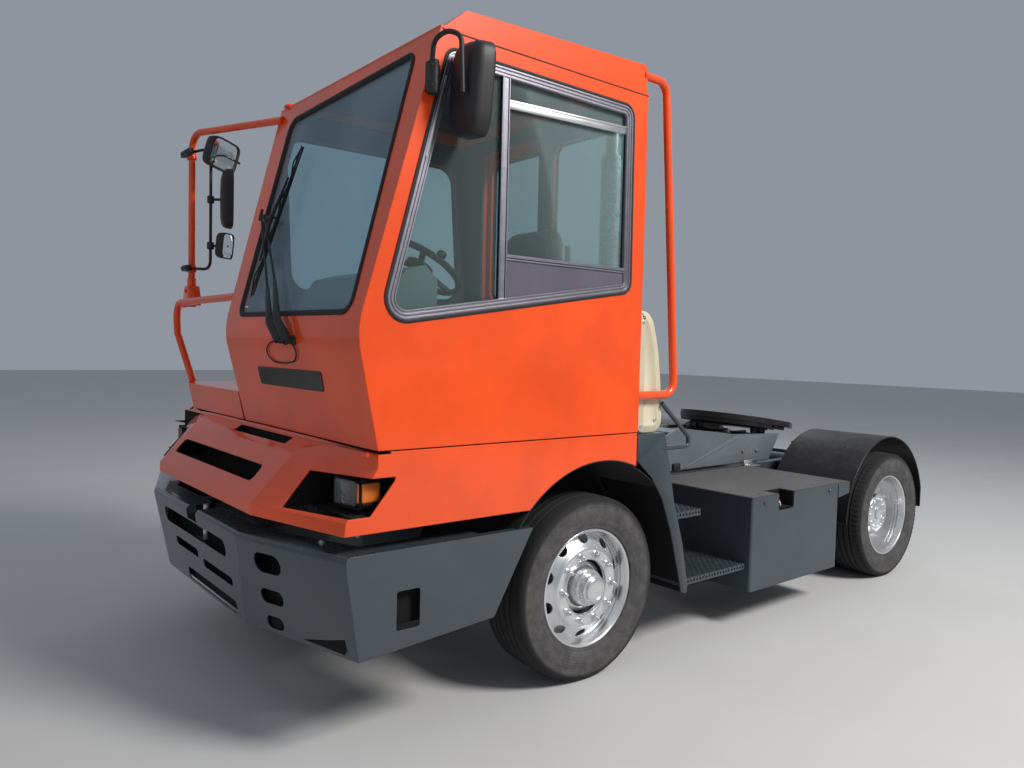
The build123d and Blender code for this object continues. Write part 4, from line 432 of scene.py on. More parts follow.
def soft_outline(corners, radii, steps=8):
    """A closed outline of flat points whose corners are true arcs of one radius or of their own."""
    if not isinstance(radii, tuple):
        radii = (radii,) * len(corners)
    line = []
    for index, (corner, radius) in enumerate(zip(corners, radii)):
        here = Vector(corner)
        before = (Vector(corners[index - 1]) - here).normalized()
        after = (Vector(corners[(index + 1) % len(corners)]) - here).normalized()
        half = before.angle(after) / 2
        middle = here + (before + after).normalized() * radius / math.sin(half)
        first = here + before * radius / math.tan(half) - middle
        final = here + after * radius / math.tan(half) - middle
        sweep = math.pi - 2 * half
        for step in range(steps + 1):
            share = sweep * step / steps
            line.append(tuple(
                middle + (first * math.sin(sweep - share) + final * math.sin(share)) / math.sin(sweep)
            ))
    return line


def grown(path, outward):
    """A closed outline moved outward by a distance."""
    area = sum(a[0] * b[1] - a[1] * b[0] for a, b in zip(path, path[1:] + path[:1]))
    turn = math.copysign(1, area)
    moved = []
    for index, corner in enumerate(path):
        here = Vector(corner)
        ahead = (Vector(path[(index + 1) % len(path)]) - here).normalized()
        behind = (here - Vector(path[index - 1])).normalized()
        across = (ahead + behind).normalized()
        out = Vector((across.y, -across.x)) * turn
        moved.append(tuple(here + out * outward / max(0.5, across.dot(ahead))))
    return moved


class Form:
    """A mesh drawn in millimetres: across the body, behind the front axle, above the ground."""

    def __init__(self):
        self.mesh = bmesh.new()

    def ring(self, spots):
        return [self.mesh.verts.new(place(*spot)) for spot in spots]

    def face(self, corners):
        self.mesh.faces.new(corners).smooth = True

    def skin(self, loops, closed=False):
        """Joins loops of equal length; closed joins the last to the first, or else the ends are filled."""
        rings = [self.ring(loop) for loop in loops]
        pairs = list(zip(rings, rings[1:]))
        if closed:
            pairs.append((rings[-1], rings[0]))
        for near, far in pairs:
            for index, corner in enumerate(near):
                after = (index + 1) % len(near)
                self.face((corner, near[after], far[after], far[index]))
        if not closed:
            self.face(rings[0][::-1])
            self.face(rings[-1])

    def revolve(self, section, centre, steps=64, closed=True, rise=None):
        """Turns (across, radius) points round an axle line through (station, height)."""
        loops = []
        for step in range(steps):
            loop = []
            for across, radius in section:
                lifted = rise(across, radius, step) if rise else radius
                loop.append((across, *turned(360 * step / steps, lifted, centre)))
            loops.append(loop)
        rings = [self.ring(loop) for loop in loops]
        for near, far in zip(rings, rings[1:] + rings[:1]):
            count = len(section) if closed else len(section) - 1
            for index in range(count):
                after = (index + 1) % len(section)
                self.face((near[index], near[after], far[after], far[index]))

    def prism(self, outline, along, low, high):
        """An outline pushed along an axis: x, s for stations or z."""
        order = {
            "x": lambda deep, a, b: (deep, a, b),
            "s": lambda deep, a, b: (a, deep, b),
            "z": lambda deep, a, b: (a, b, deep),
        }
        turn = order[along]
        self.skin([[turn(depth, *spot) for spot in outline] for depth in (low, high)])

    def block(self, low, high):
        x0, s0, z0 = low
        x1, s1, z1 = high
        self.prism([(x0, s0), (x1, s0), (x1, s1), (x0, s1)], "z", z0, z1)

    def slab(self, outline, hand, near, far):
        """A (station, height) outline between two distances from the middle, on one side."""
        self.prism(outline, "x", *sorted((hand * near, hand * far)))

    def blocks(self, corners):
        for low, high in corners:
            self.block(low, high)

    def tube(self, points, radius, sides=12, flat=1.0):
        """A bent tube; radius is a number or one for each point, flat squeezes it."""
        spots = [Vector(point) for point in points]
        radii = radius if isinstance(radius, (list, tuple)) else [radius] * len(spots)
        loops = []
        side = None
        for index, spot in enumerate(spots):
            ahead = (spots[min(index + 1, len(spots) - 1)] - spots[max(index - 1, 0)]).normalized()
            if side is None:
                side = ahead.orthogonal().normalized()
            side = (side - ahead * side.dot(ahead)).normalized()
            up = ahead.cross(side)
            loops.append([
                spot + (side * math.cos(turn) + up * math.sin(turn) * flat) * radii[index]
                for turn in (2 * math.pi * step / sides for step in range(sides))
            ])
        self.skin(loops)

    def rod(self, start, end, radius, sides=16):
        """A straight round bar."""
        self.tube([start, end], radius, sides)

    def disc(self, centre, facing, profile, sides=24):
        """A turned part at centre that faces a direction: profile is (outward, radius) points."""
        ahead = Vector(facing).normalized()
        side = ahead.orthogonal().normalized()
        up = ahead.cross(side)
        middle = Vector(centre)
        self.skin([
            [
                middle + ahead * outward
                + (side * math.cos(angle) + up * math.sin(angle)) * radius
                for angle in (2 * math.pi * step / sides for step in range(sides))
            ]
            for outward, radius in profile
        ])

    def moulding(self, path, section, spot):
        """A moulding along a closed path: section holds (outward, proud) points round it."""
        self.skin([
            [spot(*corner, proud) for corner in grown(path, outward)] for outward, proud in section
        ], closed=True)

    def bolt(self, centre, facing, size=8):
        """A washer and a hexagon head, with size the washer's radius."""
        self.disc(centre, facing, ((-1, size), (size * 0.18, size), (size * 0.22, size * 0.96)), 20)
        self.disc(centre, facing, ((0, size * 0.8), (size * 0.62, size * 0.8), (size * 0.72, size * 0.68)), 6)

    def cut(self, tool):
        """Takes another form away from this one."""
        ours = make_object("cut_work", self)
        theirs = make_object("cut_tool", tool)
        boolean = ours.modifiers.new("cut", "BOOLEAN")
        boolean.object = theirs
        boolean.solver = "EXACT"
        settle(ours)
        self.mesh = bmesh.new()
        self.mesh.from_mesh(ours.data)
        for spare in (ours, theirs):
            data = spare.data
            bpy.data.objects.remove(spare)
            bpy.data.meshes.remove(data)


def make_object(name, form):
    data = bpy.data.meshes.new(name)
    bmesh.ops.recalc_face_normals(form.mesh, faces=form.mesh.faces)
    form.mesh.to_mesh(data)
    form.mesh.free()
    made = bpy.data.objects.new(name, data)
    bpy.context.collection.objects.link(made)
    return made


def settle(piece):
    """Applies the modifiers of a piece to its mesh."""
    bpy.context.view_layer.update()
    graph = bpy.context.evaluated_depsgraph_get()
    worked = bpy.data.meshes.new_from_object(piece.evaluated_get(graph))
    old = piece.data
    piece.modifiers.clear()
    piece.data = worked
    bpy.data.meshes.remove(old)


def piece(name, form, finish, body, replaces="", slot="", bevel=0.0, sharp=35):
    """Turns a form into a piece of the tractor that rides on a body."""
    made = make_object(name, form)
    made.data.materials.append(FINISHES[finish])
    if bevel:
        edge = made.modifiers.new("edge", "BEVEL")
        edge.width = bevel / 1000
        edge.segments = 2
        edge.limit_method = "ANGLE"
        edge.angle_limit = math.radians(30)
        edge.harden_normals = True
    settle(made)
    made.data.name = name
    made.data.set_sharp_from_angle(angle=math.radians(sharp))
    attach(made, body)
    if replaces:
        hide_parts(*replaces.split())
    return made


HANDS = (1, -1)
SIDES = ((1, "left"), (-1, "right"))


def colour_choice(name, description, default):
    return bpy.props.FloatVectorProperty(
        name=name, description=description, subtype="COLOR", size=4, default=default, min=0, max=1)


class TractorColours(bpy.types.PropertyGroup):
    """Colours that a user may change"""

    body: colour_choice("Body paint", "Orange-red of the cab, nose and rails", (0.88, 0.080, 0.006, 1.0))
    chassis: colour_choice(
        "Chassis paint", "Blue-grey of the bumper, steps and boxes", (0.046, 0.062, 0.074, 1.0))
    boom: colour_choice("Boom paint", "Grey of the lifting boom", (0.13, 0.15, 0.165, 1.0))
    rubber: colour_choice("Rubber", "Tyres, seals and buffers", (0.016, 0.016, 0.017, 1.0))
    wall_dust: colour_choice("Tyre dust", "Dust on the tyres' side walls", (0.185, 0.178, 0.175, 1.0))
    seat: colour_choice("Seat cloth", "Woven cloth of the driver's seat", (0.030, 0.031, 0.034, 1.0))
    panel: colour_choice("Cream panel", "Moulded panel behind the cab", (0.60, 0.55, 0.40, 1.0))
    rim: colour_choice("Rims", "Silver of the wheels' rims", (0.72, 0.73, 0.75, 1.0))


FINISHES = {}


def make_finishes(colours):
    """All the finishes of the tractor, by name.

    After its colour a paint takes its roughness, coat, dust, chips and peel, a plastic its roughness,
    grain and dust, and a bare metal its roughness, stretch and brushed lines.
    """
    body_paint = (colours.body, 0.35, 0.7, 0.05, 0.0)
    drawn = (1.0, 0.15, 1.0)
    plain = (1.0, 1.0, 1.0)
    FINISHES.update(
        body=paint("body_paint", *body_paint, edge=0.008),
        shell=paint("cab_shell_paint", *body_paint, edge=0.008, inside=inside_shell),
        rear_wall=paint("rear_wall_paint", *body_paint, inside=inside_rear_wall),
        roof=paint("roof_paint", *body_paint, edge=0.006, inside=inside_roof),
        chassis=paint("chassis_paint", colours.chassis, 0.36, 0.35, 0.14, 0.06, 0.10),
        bumper=paint("bumper_paint", colours.chassis, 0.22, 0.7, 0.06, 0.05, 0.06),
        boom=paint("boom_paint", colours.boom, 0.42, 0.2, 0.3, 0.10, 0.12),
        deck=paint("dusty_deck", (0.082, 0.083, 0.088, 1.0), 0.55, 0.0, 0.35, 0.10, 0.4),
        black=paint("greasy_black", (0.018, 0.018, 0.020, 1.0), 0.38, 0.15, 0.25, 0.12, 0.15),
        nameplate=plastic("nameplate_blank", (0.035, 0.030, 0.024), 0.35, 0.1, 0.1),
        # painted shade: the near-black finish of sheets put where only shade is seen
        void=plastic("black_void", (0.004, 0.004, 0.004), 0.9, 0.0, 0.0),
        cast=rough_metal("cast_iron", (0.055, 0.056, 0.058), 0.5, 0.25),
        rim=paint("rim_silver", colours.rim, 0.24, 0.5, 0.08, 0.03, 0.06, metallic=0.8),
        zinc=bare_metal("zinc_bolts", (0.62, 0.62, 0.60), 0.30, plain, 0.1),
        chrome=bare_metal("chromed_rod", (0.80, 0.81, 0.83), 0.08, (20.0, 1.0, 1.0), 0.05),
        steel=bare_metal("stainless_steel", (0.60, 0.59, 0.57), 0.28, (1.0, 1.0, 0.1), 0.15),
        pierced=pierced_steel("pierced_guard", (0.58, 0.57, 0.55), 0.013),
        aluminium=bare_metal("window_aluminium", (0.30, 0.29, 0.33), 0.30, drawn, 0.12),
        bright_aluminium=bare_metal("bright_window_bar", (0.75, 0.75, 0.76), 0.34, drawn, 0.12),
        infill=plastic("window_infill", (0.105, 0.095, 0.125), 0.38, 0.1, 0.0),
        plastic=plastic("black_plastic", (0.020, 0.020, 0.021), 0.42, 0.25),
        console=plastic("console_plastic", (0.15, 0.18, 0.17), 0.5, 0.3),
        mat=plastic("floor_mat", (0.05, 0.05, 0.052), 0.75, 0.7, 0.4),
        rubber=plastic("seal_rubber", colours.rubber[:3], 0.6, 0.15),
        cream=plastic("cream_panel", colours.panel[:3], 0.35, 0.05, 0.2),
        fender=plastic("mudguard_plastic", (0.016, 0.016, 0.018), 0.30, 0.08, 0.12),
        fabric_black=plastic("cable_sleeve", (0.012, 0.012, 0.013), 0.6, 0.3),
        red_wire=plastic("red_cable", (0.42, 0.02, 0.02), 0.4, 0.1),
        white_wire=plastic("white_cable", (0.65, 0.65, 0.62), 0.4, 0.1),
        silver=bare_metal("lamp_reflector", (0.85, 0.86, 0.88), 0.06, plain, 0.0),
        cloth=woven("seat_cloth", colours.seat, 0.005),
        front_tyre=tyre_rubber("front_tyre_rubber", colours.rubber, colours.wall_dust, 0),
        rear_tyre=tyre_rubber("rear_tyre_rubber", colours.rubber, colours.wall_dust, REAR_STATION),
        # painted reflection: the pale bluish tints of both glasses also stand for the sky's reflection
        glass=clear_glass("cab_glass", (0.80, 0.90, 0.90), 0.04, 0.05),
        screen=clear_glass("screen_glass", (0.80, 0.91, 0.97), 0.10, 0.05),
        clear_lens=lens("clear_lens", (0.55, 0.57, 0.58), 0.006, 0.72),
        amber_lens=lens("amber_lens", (0.90, 0.22, 0.03), 0.004, 0),
        red_lens=lens("red_lens", (0.50, 0.012, 0.010), 0.006, 0),
        mirror=bare_metal("mirror_silver", (0.86, 0.88, 0.90), 0.02, plain, 0.0),
    )


# The CAD nodes that stay as they are, with the finish that each takes
CAD_FINISHES = {
    "chassis": "chassis_frame front_beam left_box right_box front_axle grab_loop",
    "bumper": "front_bumper",
    "body": "lower_body right_deck rear_door mirror_rail handrails",
    "shell": "cab_shell",
    "roof": "cab_roof",
    "rear_wall": "cab_rear_wall",
    "boom": "lift_boom",
    "black": "fifth_wheel lift_barrels front_springs",
    "cast": "knuckle_left knuckle_right track_rod rear_axle engine driveline",
    "chrome": "lift_rods",
    "steel": "tow_pin",
    "pierced": "exhaust_stack",
    "fender": "rear_mudguards",
    "plastic": "arch_liners steering_wheel",
    "console": "dashboard",
    "mat": "cab_floor",
    "screen": "windscreen",
    "glass": "cab_glass rear_door_glass",
}


class TRACTOR_OT_finish_frame(bpy.types.Operator):
    """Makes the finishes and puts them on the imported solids"""

    bl_idname = "tractor.finish_frame"
    bl_label = "Finish the packed solids"

    def execute(self, context):
        make_finishes(context.scene.tractor_colours)
        for finish, nodes in CAD_FINISHES.items():
            for name in nodes.split():
                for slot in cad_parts[name].material_slots:
                    slot.material = FINISHES[finish]
        return {"FINISHED"}


# Wheels

WHEEL_X = 1054
TWIN_SPACING = 326
WHEEL_NUTS = 10
NUT_CIRCLE = 167.5
HAND_HOLE_CIRCLE = 242

# Half section of a tyre: distance from its middle, radius
TYRE_WALL = (
    (134, 449), (141, 434), (142, 425), (139, 420), (144.5, 398), (146, 378), (145, 356), (141, 348),
    (142, 342), (136, 322), (129, 311), (130, 305), (122, 299.5), (112, 298), (106, 290),
)
GROOVES = (22, 64)
GROOVE_HALF = 5.5
TREAD_EDGE = 124


class TractorWheels(bpy.types.PropertyGroup):
    """Sizes of the tyres' tread that a user may change"""

    groove: bpy.props.FloatProperty(
        name="Groove depth", description="Depth of the tread's grooves in millimetres",
        default=12.0, min=2.0, max=18.0)
    steps: bpy.props.IntProperty(
        name="Tyre facets", description="Segments round each tyre", default=120, min=48, max=240)


def tread_section(depth):
    """Section of a tyre from one bead over the tread to the other."""
    half = [(0.0, TYRE_RADIUS)]
    for groove in GROOVES:
        crown = TYRE_RADIUS - (groove / 146) ** 2 * 5
        half += [
            (groove - GROOVE_HALF - 1, crown), (groove - GROOVE_HALF, crown - 1.5),
            (groove - GROOVE_HALF + 2, crown - depth), (groove + GROOVE_HALF - 2, crown - depth),
            (groove + GROOVE_HALF, crown - 1.5), (groove + GROOVE_HALF + 1, crown),
        ]
    half += [(98, TYRE_RADIUS - 2.2), (TREAD_EDGE, TYRE_RADIUS - 4.5), *TYRE_WALL]
    return [(-across, radius) for across, radius in reversed(half[1:])] + half


LUG_EVERY = 3
LUG_SPAN = (90, 143)
LUG_REACH = 30
LUG_DEPTH = 6


def lug_rise(across, radius, step):
    """Cuts the shoulders of a driven tyre into lugs."""
    shoulder = LUG_SPAN[0] < abs(across) < LUG_SPAN[1] and radius > TYRE_RADIUS - LUG_REACH
    return radius - LUG_DEPTH if shoulder and step % LUG_EVERY == 0 else radius


class TRACTOR_OT_tyres(bpy.types.Operator):
    """Makes the ribbed front tyres and the lugged twin rear tyres"""

    bl_idname = "tractor.tyres"
    bl_label = "Tyres"

    def execute(self, context):
        sizes = context.scene.tractor_wheels
        section = tread_section(sizes.groove)
        for hand, side in SIDES:
            front = Form()
            middle = hand * WHEEL_X
            outline = [(middle + across, radius) for across, radius in section]
            front.revolve(outline, (0, TYRE_RADIUS), sizes.steps)
            piece(f"front_tyre_tread_{side}", front, "front_tyre", f"front_wheel_{side}",
                  f"front_tyre_{side}", sharp=50)
            rear = Form()
            for middle in (hand * WHEEL_X, hand * (WHEEL_X - TWIN_SPACING)):
                outline = [(middle + across, radius) for across, radius in section]
                rear.revolve(
                    outline, (REAR_STATION, TYRE_RADIUS), sizes.steps * 2,
                    rise=lambda across, radius, step, middle=middle: lug_rise(across - middle, radius, step))
            piece(f"rear_tyre_treads_{side}", rear, "rear_tyre", f"rear_wheels_{side}",
                  f"rear_tyres_{side}", sharp=50)
        return {"FINISHED"}


# Sections of the rims: outward distance from the tyre's middle, radius
RIM_BARREL = (
    (-118, 290), (-118, 298), (-112, 299), (-108, 288), (-60, 274), (60, 270), (96, 280), (108, 288),
    (112, 298), (118, 299), (123, 296), (124, 290), (120, 284),
)
FRONT_DISC = (
    (104, 279), (88, 276), (64, 273), (54, 268), (56, 262), (72, 244), (86, 222), (95, 210),
    (104, 203), (109, 196), (110, 188), (109, 144), (106, 139), (98, 136), (88, 136), (96, 190),
    (84, 214), (60, 246), (44, 258), (40, 264), (30, 268),
)
FRONT_HUB = (
    (60, 0), (60, 128), (66, 128), (70, 122), (74, 104), (122, 92), (128, 88), (130, 80), (152, 77),
    (160, 73), (163, 66), (166, 62), (174, 60), (177, 56), (178, 46), (175, 42), (175, 0),
)
REAR_DISC = (
    (104, 279), (88, 275), (30, 268), (-40, 264), (-84, 258), (-104, 244), (-112, 222), (-114, 196),
    (-116, 150), (-112, 140), (-102, 136), (-102, 128), (-124, 128), (-124, 262), (-60, 272),
)
BRAKE_DRUM = ((-110, 0), (-110, 205), (36, 205), (44, 196), (44, 0))
# Rings of hub bolts: outward place, radius of the ring, number, size, first angle as a share of a pitch
FRONT_HUB_BOLTS = (128, 70, 10, 6, 0.5)
REAR_HUB_BOLTS = (49, 106, 12, 12, 0)
# Half sizes of a hand hole, towards the axle and round it
HAND_HOLE = (23, 32)
REAR_HUB = (
    (-118, 0), (-118, 128), (-100, 128), (-92, 120), (26, 112), (34, 118), (38, 134), (46, 137),
    (50, 134), (51, 70), (56, 62), (70, 58), (74, 52), (75, 30), (68, 26), (68, 0),
)


def wheel_nut(form, spot, facing, size=15):
    """A wheel nut with its collar and the threaded end that stands out of it."""
    form.disc(spot, facing, ((-2, size * 1.32), (4, size * 1.32), (6, size * 1.15)), 20)
    form.disc(spot, facing, ((2, size), (24, size), (27, size * 0.86)), 6)
    form.disc(spot, facing, ((20, size * 0.55), (38, size * 0.55), (41, size * 0.4)), 12)


def rim_form(hand, station, disc, hub, nut_face, hole_face, hub_bolts):
    """A rim with its disc, hub, hand holes, nuts and hub bolts on the outer wheel of a side."""
    middle = hand * WHEEL_X
    centre = (station, TYRE_RADIUS)

    def out(section):
        return [(middle + hand * across, radius) for across, radius in section]

    form = Form()
    form.revolve(out(RIM_BARREL + disc), centre, 80)
    holes = Form()
    for index in range(WHEEL_NUTS):
        angle = 360 / WHEEL_NUTS * (index + 0.5)
        turn = math.radians(angle)
        spot = turned(angle, HAND_HOLE_CIRCLE, centre)
        around = []
        for step in range(16):
            share = math.radians(step * 22.5)
            radial, along = HAND_HOLE[0] * math.cos(share), HAND_HOLE[1] * math.sin(share)
            around.append((
                spot[0] + radial * math.cos(turn) - along * math.sin(turn),
                spot[1] + radial * math.sin(turn) + along * math.cos(turn),
            ))
        holes.slab(around, hand, WHEEL_X + hole_face - 60, WHEEL_X + hole_face + 70)
    form.cut(holes)
    form.revolve(out(hub), centre, 48, closed=False)
    for index in range(WHEEL_NUTS):
        angle = 360 / WHEEL_NUTS * index
        wheel_nut(form, (middle + hand * nut_face, *turned(angle, NUT_CIRCLE, centre)), (hand, 0, 0))
    face, circle, count, size, shift = hub_bolts
    for index in range(count):
        angle = 360 / count * (index + shift)
        form.bolt((middle + hand * face, *turned(angle, circle, centre)), (hand, 0, 0), size)
    return form


class TRACTOR_OT_rims(bpy.types.Operator):
    """Makes the pierced steel rims with hubs, nuts and bolts, and the front brake drums"""

    bl_idname = "tractor.rims"
    bl_label = "Rims"

    def execute(self, context):
        for hand, side in SIDES:
            middle = hand * WHEEL_X
            front = rim_form(hand, 0, FRONT_DISC, FRONT_HUB, 109, 70, FRONT_HUB_BOLTS)
            piece(f"front_rim_disc_{side}", front, "rim", f"front_wheel_{side}",
                  f"front_rim_{side}", sharp=32)
            rear = rim_form(hand, REAR_STATION, REAR_DISC, REAR_HUB, -114, -90, REAR_HUB_BOLTS)
            inner = hand * (WHEEL_X - TWIN_SPACING)
            flipped = [(inner - hand * across, radius) for across, radius in RIM_BARREL + REAR_DISC]
            rear.revolve(flipped, (REAR_STATION, TYRE_RADIUS), 64)
            piece(f"rear_rim_discs_{side}", rear, "rim", f"rear_wheels_{side}",
                  f"rear_rims_{side}", sharp=32)
            drum = Form()
            section = [(middle + hand * across, radius) for across, radius in BRAKE_DRUM]
            drum.revolve(section, (0, TYRE_RADIUS), 48, closed=False)
            piece(f"front_brake_drum_{side}", drum, "cast", f"front_wheel_{side}")
        return {"FINISHED"}


# Mirrors


def rounded_box(width, height, power=5.0, count=40):
    """A rectangle with round corners as (across, up) points about its middle."""
    outline = []
    for step in range(count):
        turn = 2 * math.pi * step / count
        across, up = math.cos(turn), math.sin(turn)
        outline.append((
            math.copysign(abs(across) ** (2 / power), across) * width / 2,
            math.copysign(abs(up) ** (2 / power), up) * height / 2,
        ))
    return outline


# Sections of a mirror head: back from the glass as a share of its depth, share of its outline
HEAD_SHELL = (
    (0.04, 0.90), (0.0, 0.925), (-0.03, 0.96), (0.0, 1.0), (0.12, 1.0), (0.50, 0.985), (0.72, 0.95),
    (0.86, 0.86), (0.95, 0.70), (1.0, 0.40), (1.01, 0.12),
)
HEAD_GLASS = ((0.10, 0.895), (0.055, 0.895), (0.04, 0.88), (0.02, 0.5), (0.015, 0.1))


def mirror_head(centre, facing, width, height, depth, tilt=0.0):
    """Two forms, the shell and its glass, for a head whose glass faces a direction."""
    look = Vector(facing).normalized()
    level = Vector((0, 0, 1)).cross(look).normalized()
    up = look.cross(level)
    lean = math.radians(tilt)
    side = level * math.cos(lean) + up * math.sin(lean)
    rise = up * math.cos(lean) - level * math.sin(lean)
    forms = []
    for section in (HEAD_SHELL, HEAD_GLASS):
        form = Form()
        form.skin([
            [Vector(centre) - look * depth * back + (side * across + rise * upward) * share
             for across, upward in rounded_box(width, height)]
            for back, share in section
        ])
        forms.append(form)
    return forms


# Right heads: name, centre, glass direction, width, height, depth, tilt
RIGHT_MIRRORS = (
    ("wide", (-985, -1078, 2785), (0.86, 0.45, -0.22), 232, 186, 82, -8),
    ("tall", (-905, -1060, 2512), (0.25, 1.0, 0.0), 185, 352, 66, 0),
    ("small", (-960, -1062, 2232), (0.75, 0.65, -0.1), 128, 158, 62, 0),
)
RAIL_SPOT = (-1220, -1200)
POST_SPOT = (-1020, -1150)
MIRROR_POST = ((-1220, -1236, 2812), (*POST_SPOT, 2822), (*POST_SPOT, 2088), (-1220, -1236, 2100))
# Brackets on the rail: height, reach across
RAIL_BRACKETS = ((2812, 70), (2100, 45))
RAIL_CLAMPS = (2800, 2100)
WIDE_HEAD_STAY = (165, 30, -70)
# The rail's foot: its two edges across, front and rear station, height
RAIL_FOOT = ((-1278, -1150, -1236, -1164, 1868), (-1278, -1150, -1236, -1164, 1910),
             (-1262, -1172, -1232, -1168, 1990))
FOOT_BOLTS = ((RAIL_SPOT[0], -1237, 1900), (RAIL_SPOT[0], -1237, 1960))
RAIL_TOP_CAP = (-252, -975, 2946)
LEFT_MIRROR = ((1350, -872, 2668), (0.0, 1.0, 0.0), 196, 366, 92, 6)
LEFT_ARM = (
    (1262, -1040, 2760), (1275, -1040, 2850), (1334, -1020, 2876), (1390, -990, 2850), (1398, -985, 2630),
)
LEFT_FOOT = ((1250, -1062, 2650), (1270, -1018, 2765))
LEFT_FOOT_BOLTS = ((1290, -1058, 2668), (1290, -1058, 2745))
LEFT_JOINT = (1345, -942, 2705)
LEFT_STEM = ((1345, -950, 2700), (1345, -950, 2640))
LEFT_HINGE = (1278, -1040, 2706)
LEFT_HINGE_PROFILE = (
    (-69, 12), (-65, 24), (-20, 27), (-16, 25), (44, 25), (48, 21), (64, 20), (69, 12),
)


class TRACTOR_OT_mirrors(bpy.types.Operator):
    """Makes the mirrors of both sides with their arms and clamps"""

    bl_idname = "tractor.mirrors"
    bl_label = "Mirrors"

    def right_side(self):
        across, station = RAIL_SPOT
        arms = Form()
        arms.tube(rounded(MIRROR_POST, 60), 9, 12)
        for height, reach in RAIL_BRACKETS:
            arms.block((across - reach, station - 50, height - 17),
                       (across + reach * 1.4, station - 22.5, height + 17))
            for offset in (-34, 34):
                arms.bolt((across + offset, station - 50, height), (0, -1, 0), 9)
        for name, centre, facing, width, height, depth, tilt in RIGHT_MIRRORS:
            shell, glass = mirror_head(centre, facing, width, height, depth, tilt)
            piece(f"right_mirror_{name}", shell, "plastic", "cab", sharp=60)
            piece(f"right_mirror_{name}_glass", glass, "mirror", "cab")
            knuckle = (*POST_SPOT, centre[2])
            arms.rod(knuckle, centre, 8, 12)
            arms.disc(knuckle, (0, 0, 1), ((-22, 17), (-18, 21), (18, 21), (22, 17)), 20)
        wide_middle = Vector(RIGHT_MIRRORS[0][1])
        arms.rod(wide_middle, wide_middle + Vector(WIDE_HEAD_STAY), 7, 10)
        piece("right_mirror_bracket", arms, "plastic", "cab", "right_mirrors", bevel=2)
        clamps = Form()
        for height in RAIL_CLAMPS:
            clamps.disc((*RAIL_SPOT, height), (0, 0, 1), ((-22, 21.5), (-22, 29), (22, 29), (22, 21.5)), 24)
            clamps.block((across - 40, station - 22, height - 22), (across + 40, station - 14, height + 22))
        clamps.skin([
            [(left, front, height), (right, front, height), (right, rear, height), (left, rear, height)]
            for left, right, front, rear, height in RAIL_FOOT
        ])
        for spot in FOOT_BOLTS:
            clamps.bolt(spot, (0, -1, 0), 11)
        clamps.disc(RAIL_TOP_CAP, (0, -0.2, 1), ((-12, 34), (-3, 36), (3, 33), (8, 20)), 16)
        piece("mirror_rail_clamps", clamps, "body", "cab", bevel=3)

    def left_side(self):
        centre, facing, width, height, depth, tilt = LEFT_MIRROR
        shell, glass = mirror_head(centre, facing, width, height, depth, tilt)
        piece("left_mirror_shell", shell, "plastic", "cab", "left_mirror", sharp=60)
        piece("left_mirror_glass", glass, "mirror", "cab")
        arm = Form()
        arm.tube(rounded(LEFT_ARM, 40), 10, 14)
        arm.disc(LEFT_HINGE, (0, 0, 1), LEFT_HINGE_PROFILE, 24)
        arm.block(*LEFT_FOOT)
        for spot in LEFT_FOOT_BOLTS:
            arm.bolt(spot, (0.5, -1, 0), 8)
        arm.disc(LEFT_JOINT, (0, 1, 0), ((-26, 12), (-22, 20), (8, 24), (34, 24)), 20)
        arm.rod(*LEFT_STEM, 7, 12)
        piece("left_mirror_arm", arm, "plastic", "cab")

    def execute(self, context):
        self.right_side()
        self.left_side()
        return {"FINISHED"}


# Seat

# The pads: cell of their grid, gas pressure inside, steps of the cloth run, furthest swell in metres
PAD_GRID = 0.013
PAD_PRESSURE = 4
PAD_STEPS = 20
PAD_SWELL = 0.022


def cushion(centre, size, tilt):
    """A padded form whose sides pull in, to be swollen by pressure and crowned afterwards."""
    width, length, thick = size
    form = Form()
    loops = []
    for share, inset in ((-0.5, 0.86), (-0.42, 0.96), (0.0, 1.0), (0.42, 0.96), (0.5, 0.86)):
        loops.append([
            (centre[0] + across * inset, centre[1] + along * inset, centre[2] + share * thick)
            for across, along in rounded_box(width, length, 6.0, 48)
        ])
    form.skin(loops)
    lean = Matrix.Rotation(math.radians(tilt), 4, "X")
    middle = place(*centre)
    for corner in form.mesh.verts:
        corner.co = middle + lean @ (corner.co - middle)
    return form


def swell(pad, cap):
    """Runs the cloth simulation on a pad and keeps each point within a cap of its place."""
    remesh = pad.modifiers.new("grid", "REMESH")
    remesh.mode = "VOXEL"
    remesh.voxel_size = PAD_GRID
    settle(pad)
    rest = [corner.co.copy() for corner in pad.data.vertices]
    cloth = pad.modifiers.new("cloth", "CLOTH")
    cloth.settings.use_pressure = True
    cloth.settings.uniform_pressure_force = PAD_PRESSURE
    cloth.settings.effector_weights.gravity = 0
    scene = bpy.context.scene
    for step in range(1, PAD_STEPS + 1):
        scene.frame_set(step)
    settle(pad)
    scene.frame_set(1)
    for corner, place_before in zip(pad.data.vertices, rest):
        moved = corner.co - place_before
        if moved.length > cap:
            corner.co = place_before + moved.normalized() * cap


# Pads: name, centre, width and length and thickness, tilt about the across axis
SEAT_PADS = (
    ("seat_cushion", (640, -165, 1800), (460, 440, 100), 5),
    ("seat_back", (640, 62, 2075), (440, 470, 90), 98),
)
# Solid parts of the sprung base: foot, lower box, upper pan
SEAT_BLOCKS = (
    ((430, -380, 1311), (850, 60, 1345)), ((470, -340, 1345), (810, 30, 1420)),
    ((440, -370, 1690), (840, 50, 1740)),
)
SCISSOR_STATIONS = (-330, 20)
SEAT_MIDDLE = 640
# A back post: out from the seat's middle, station, height
SEAT_POST = ((180, 60, 1740), (200, 110, 1800), (190, 115, 2200))


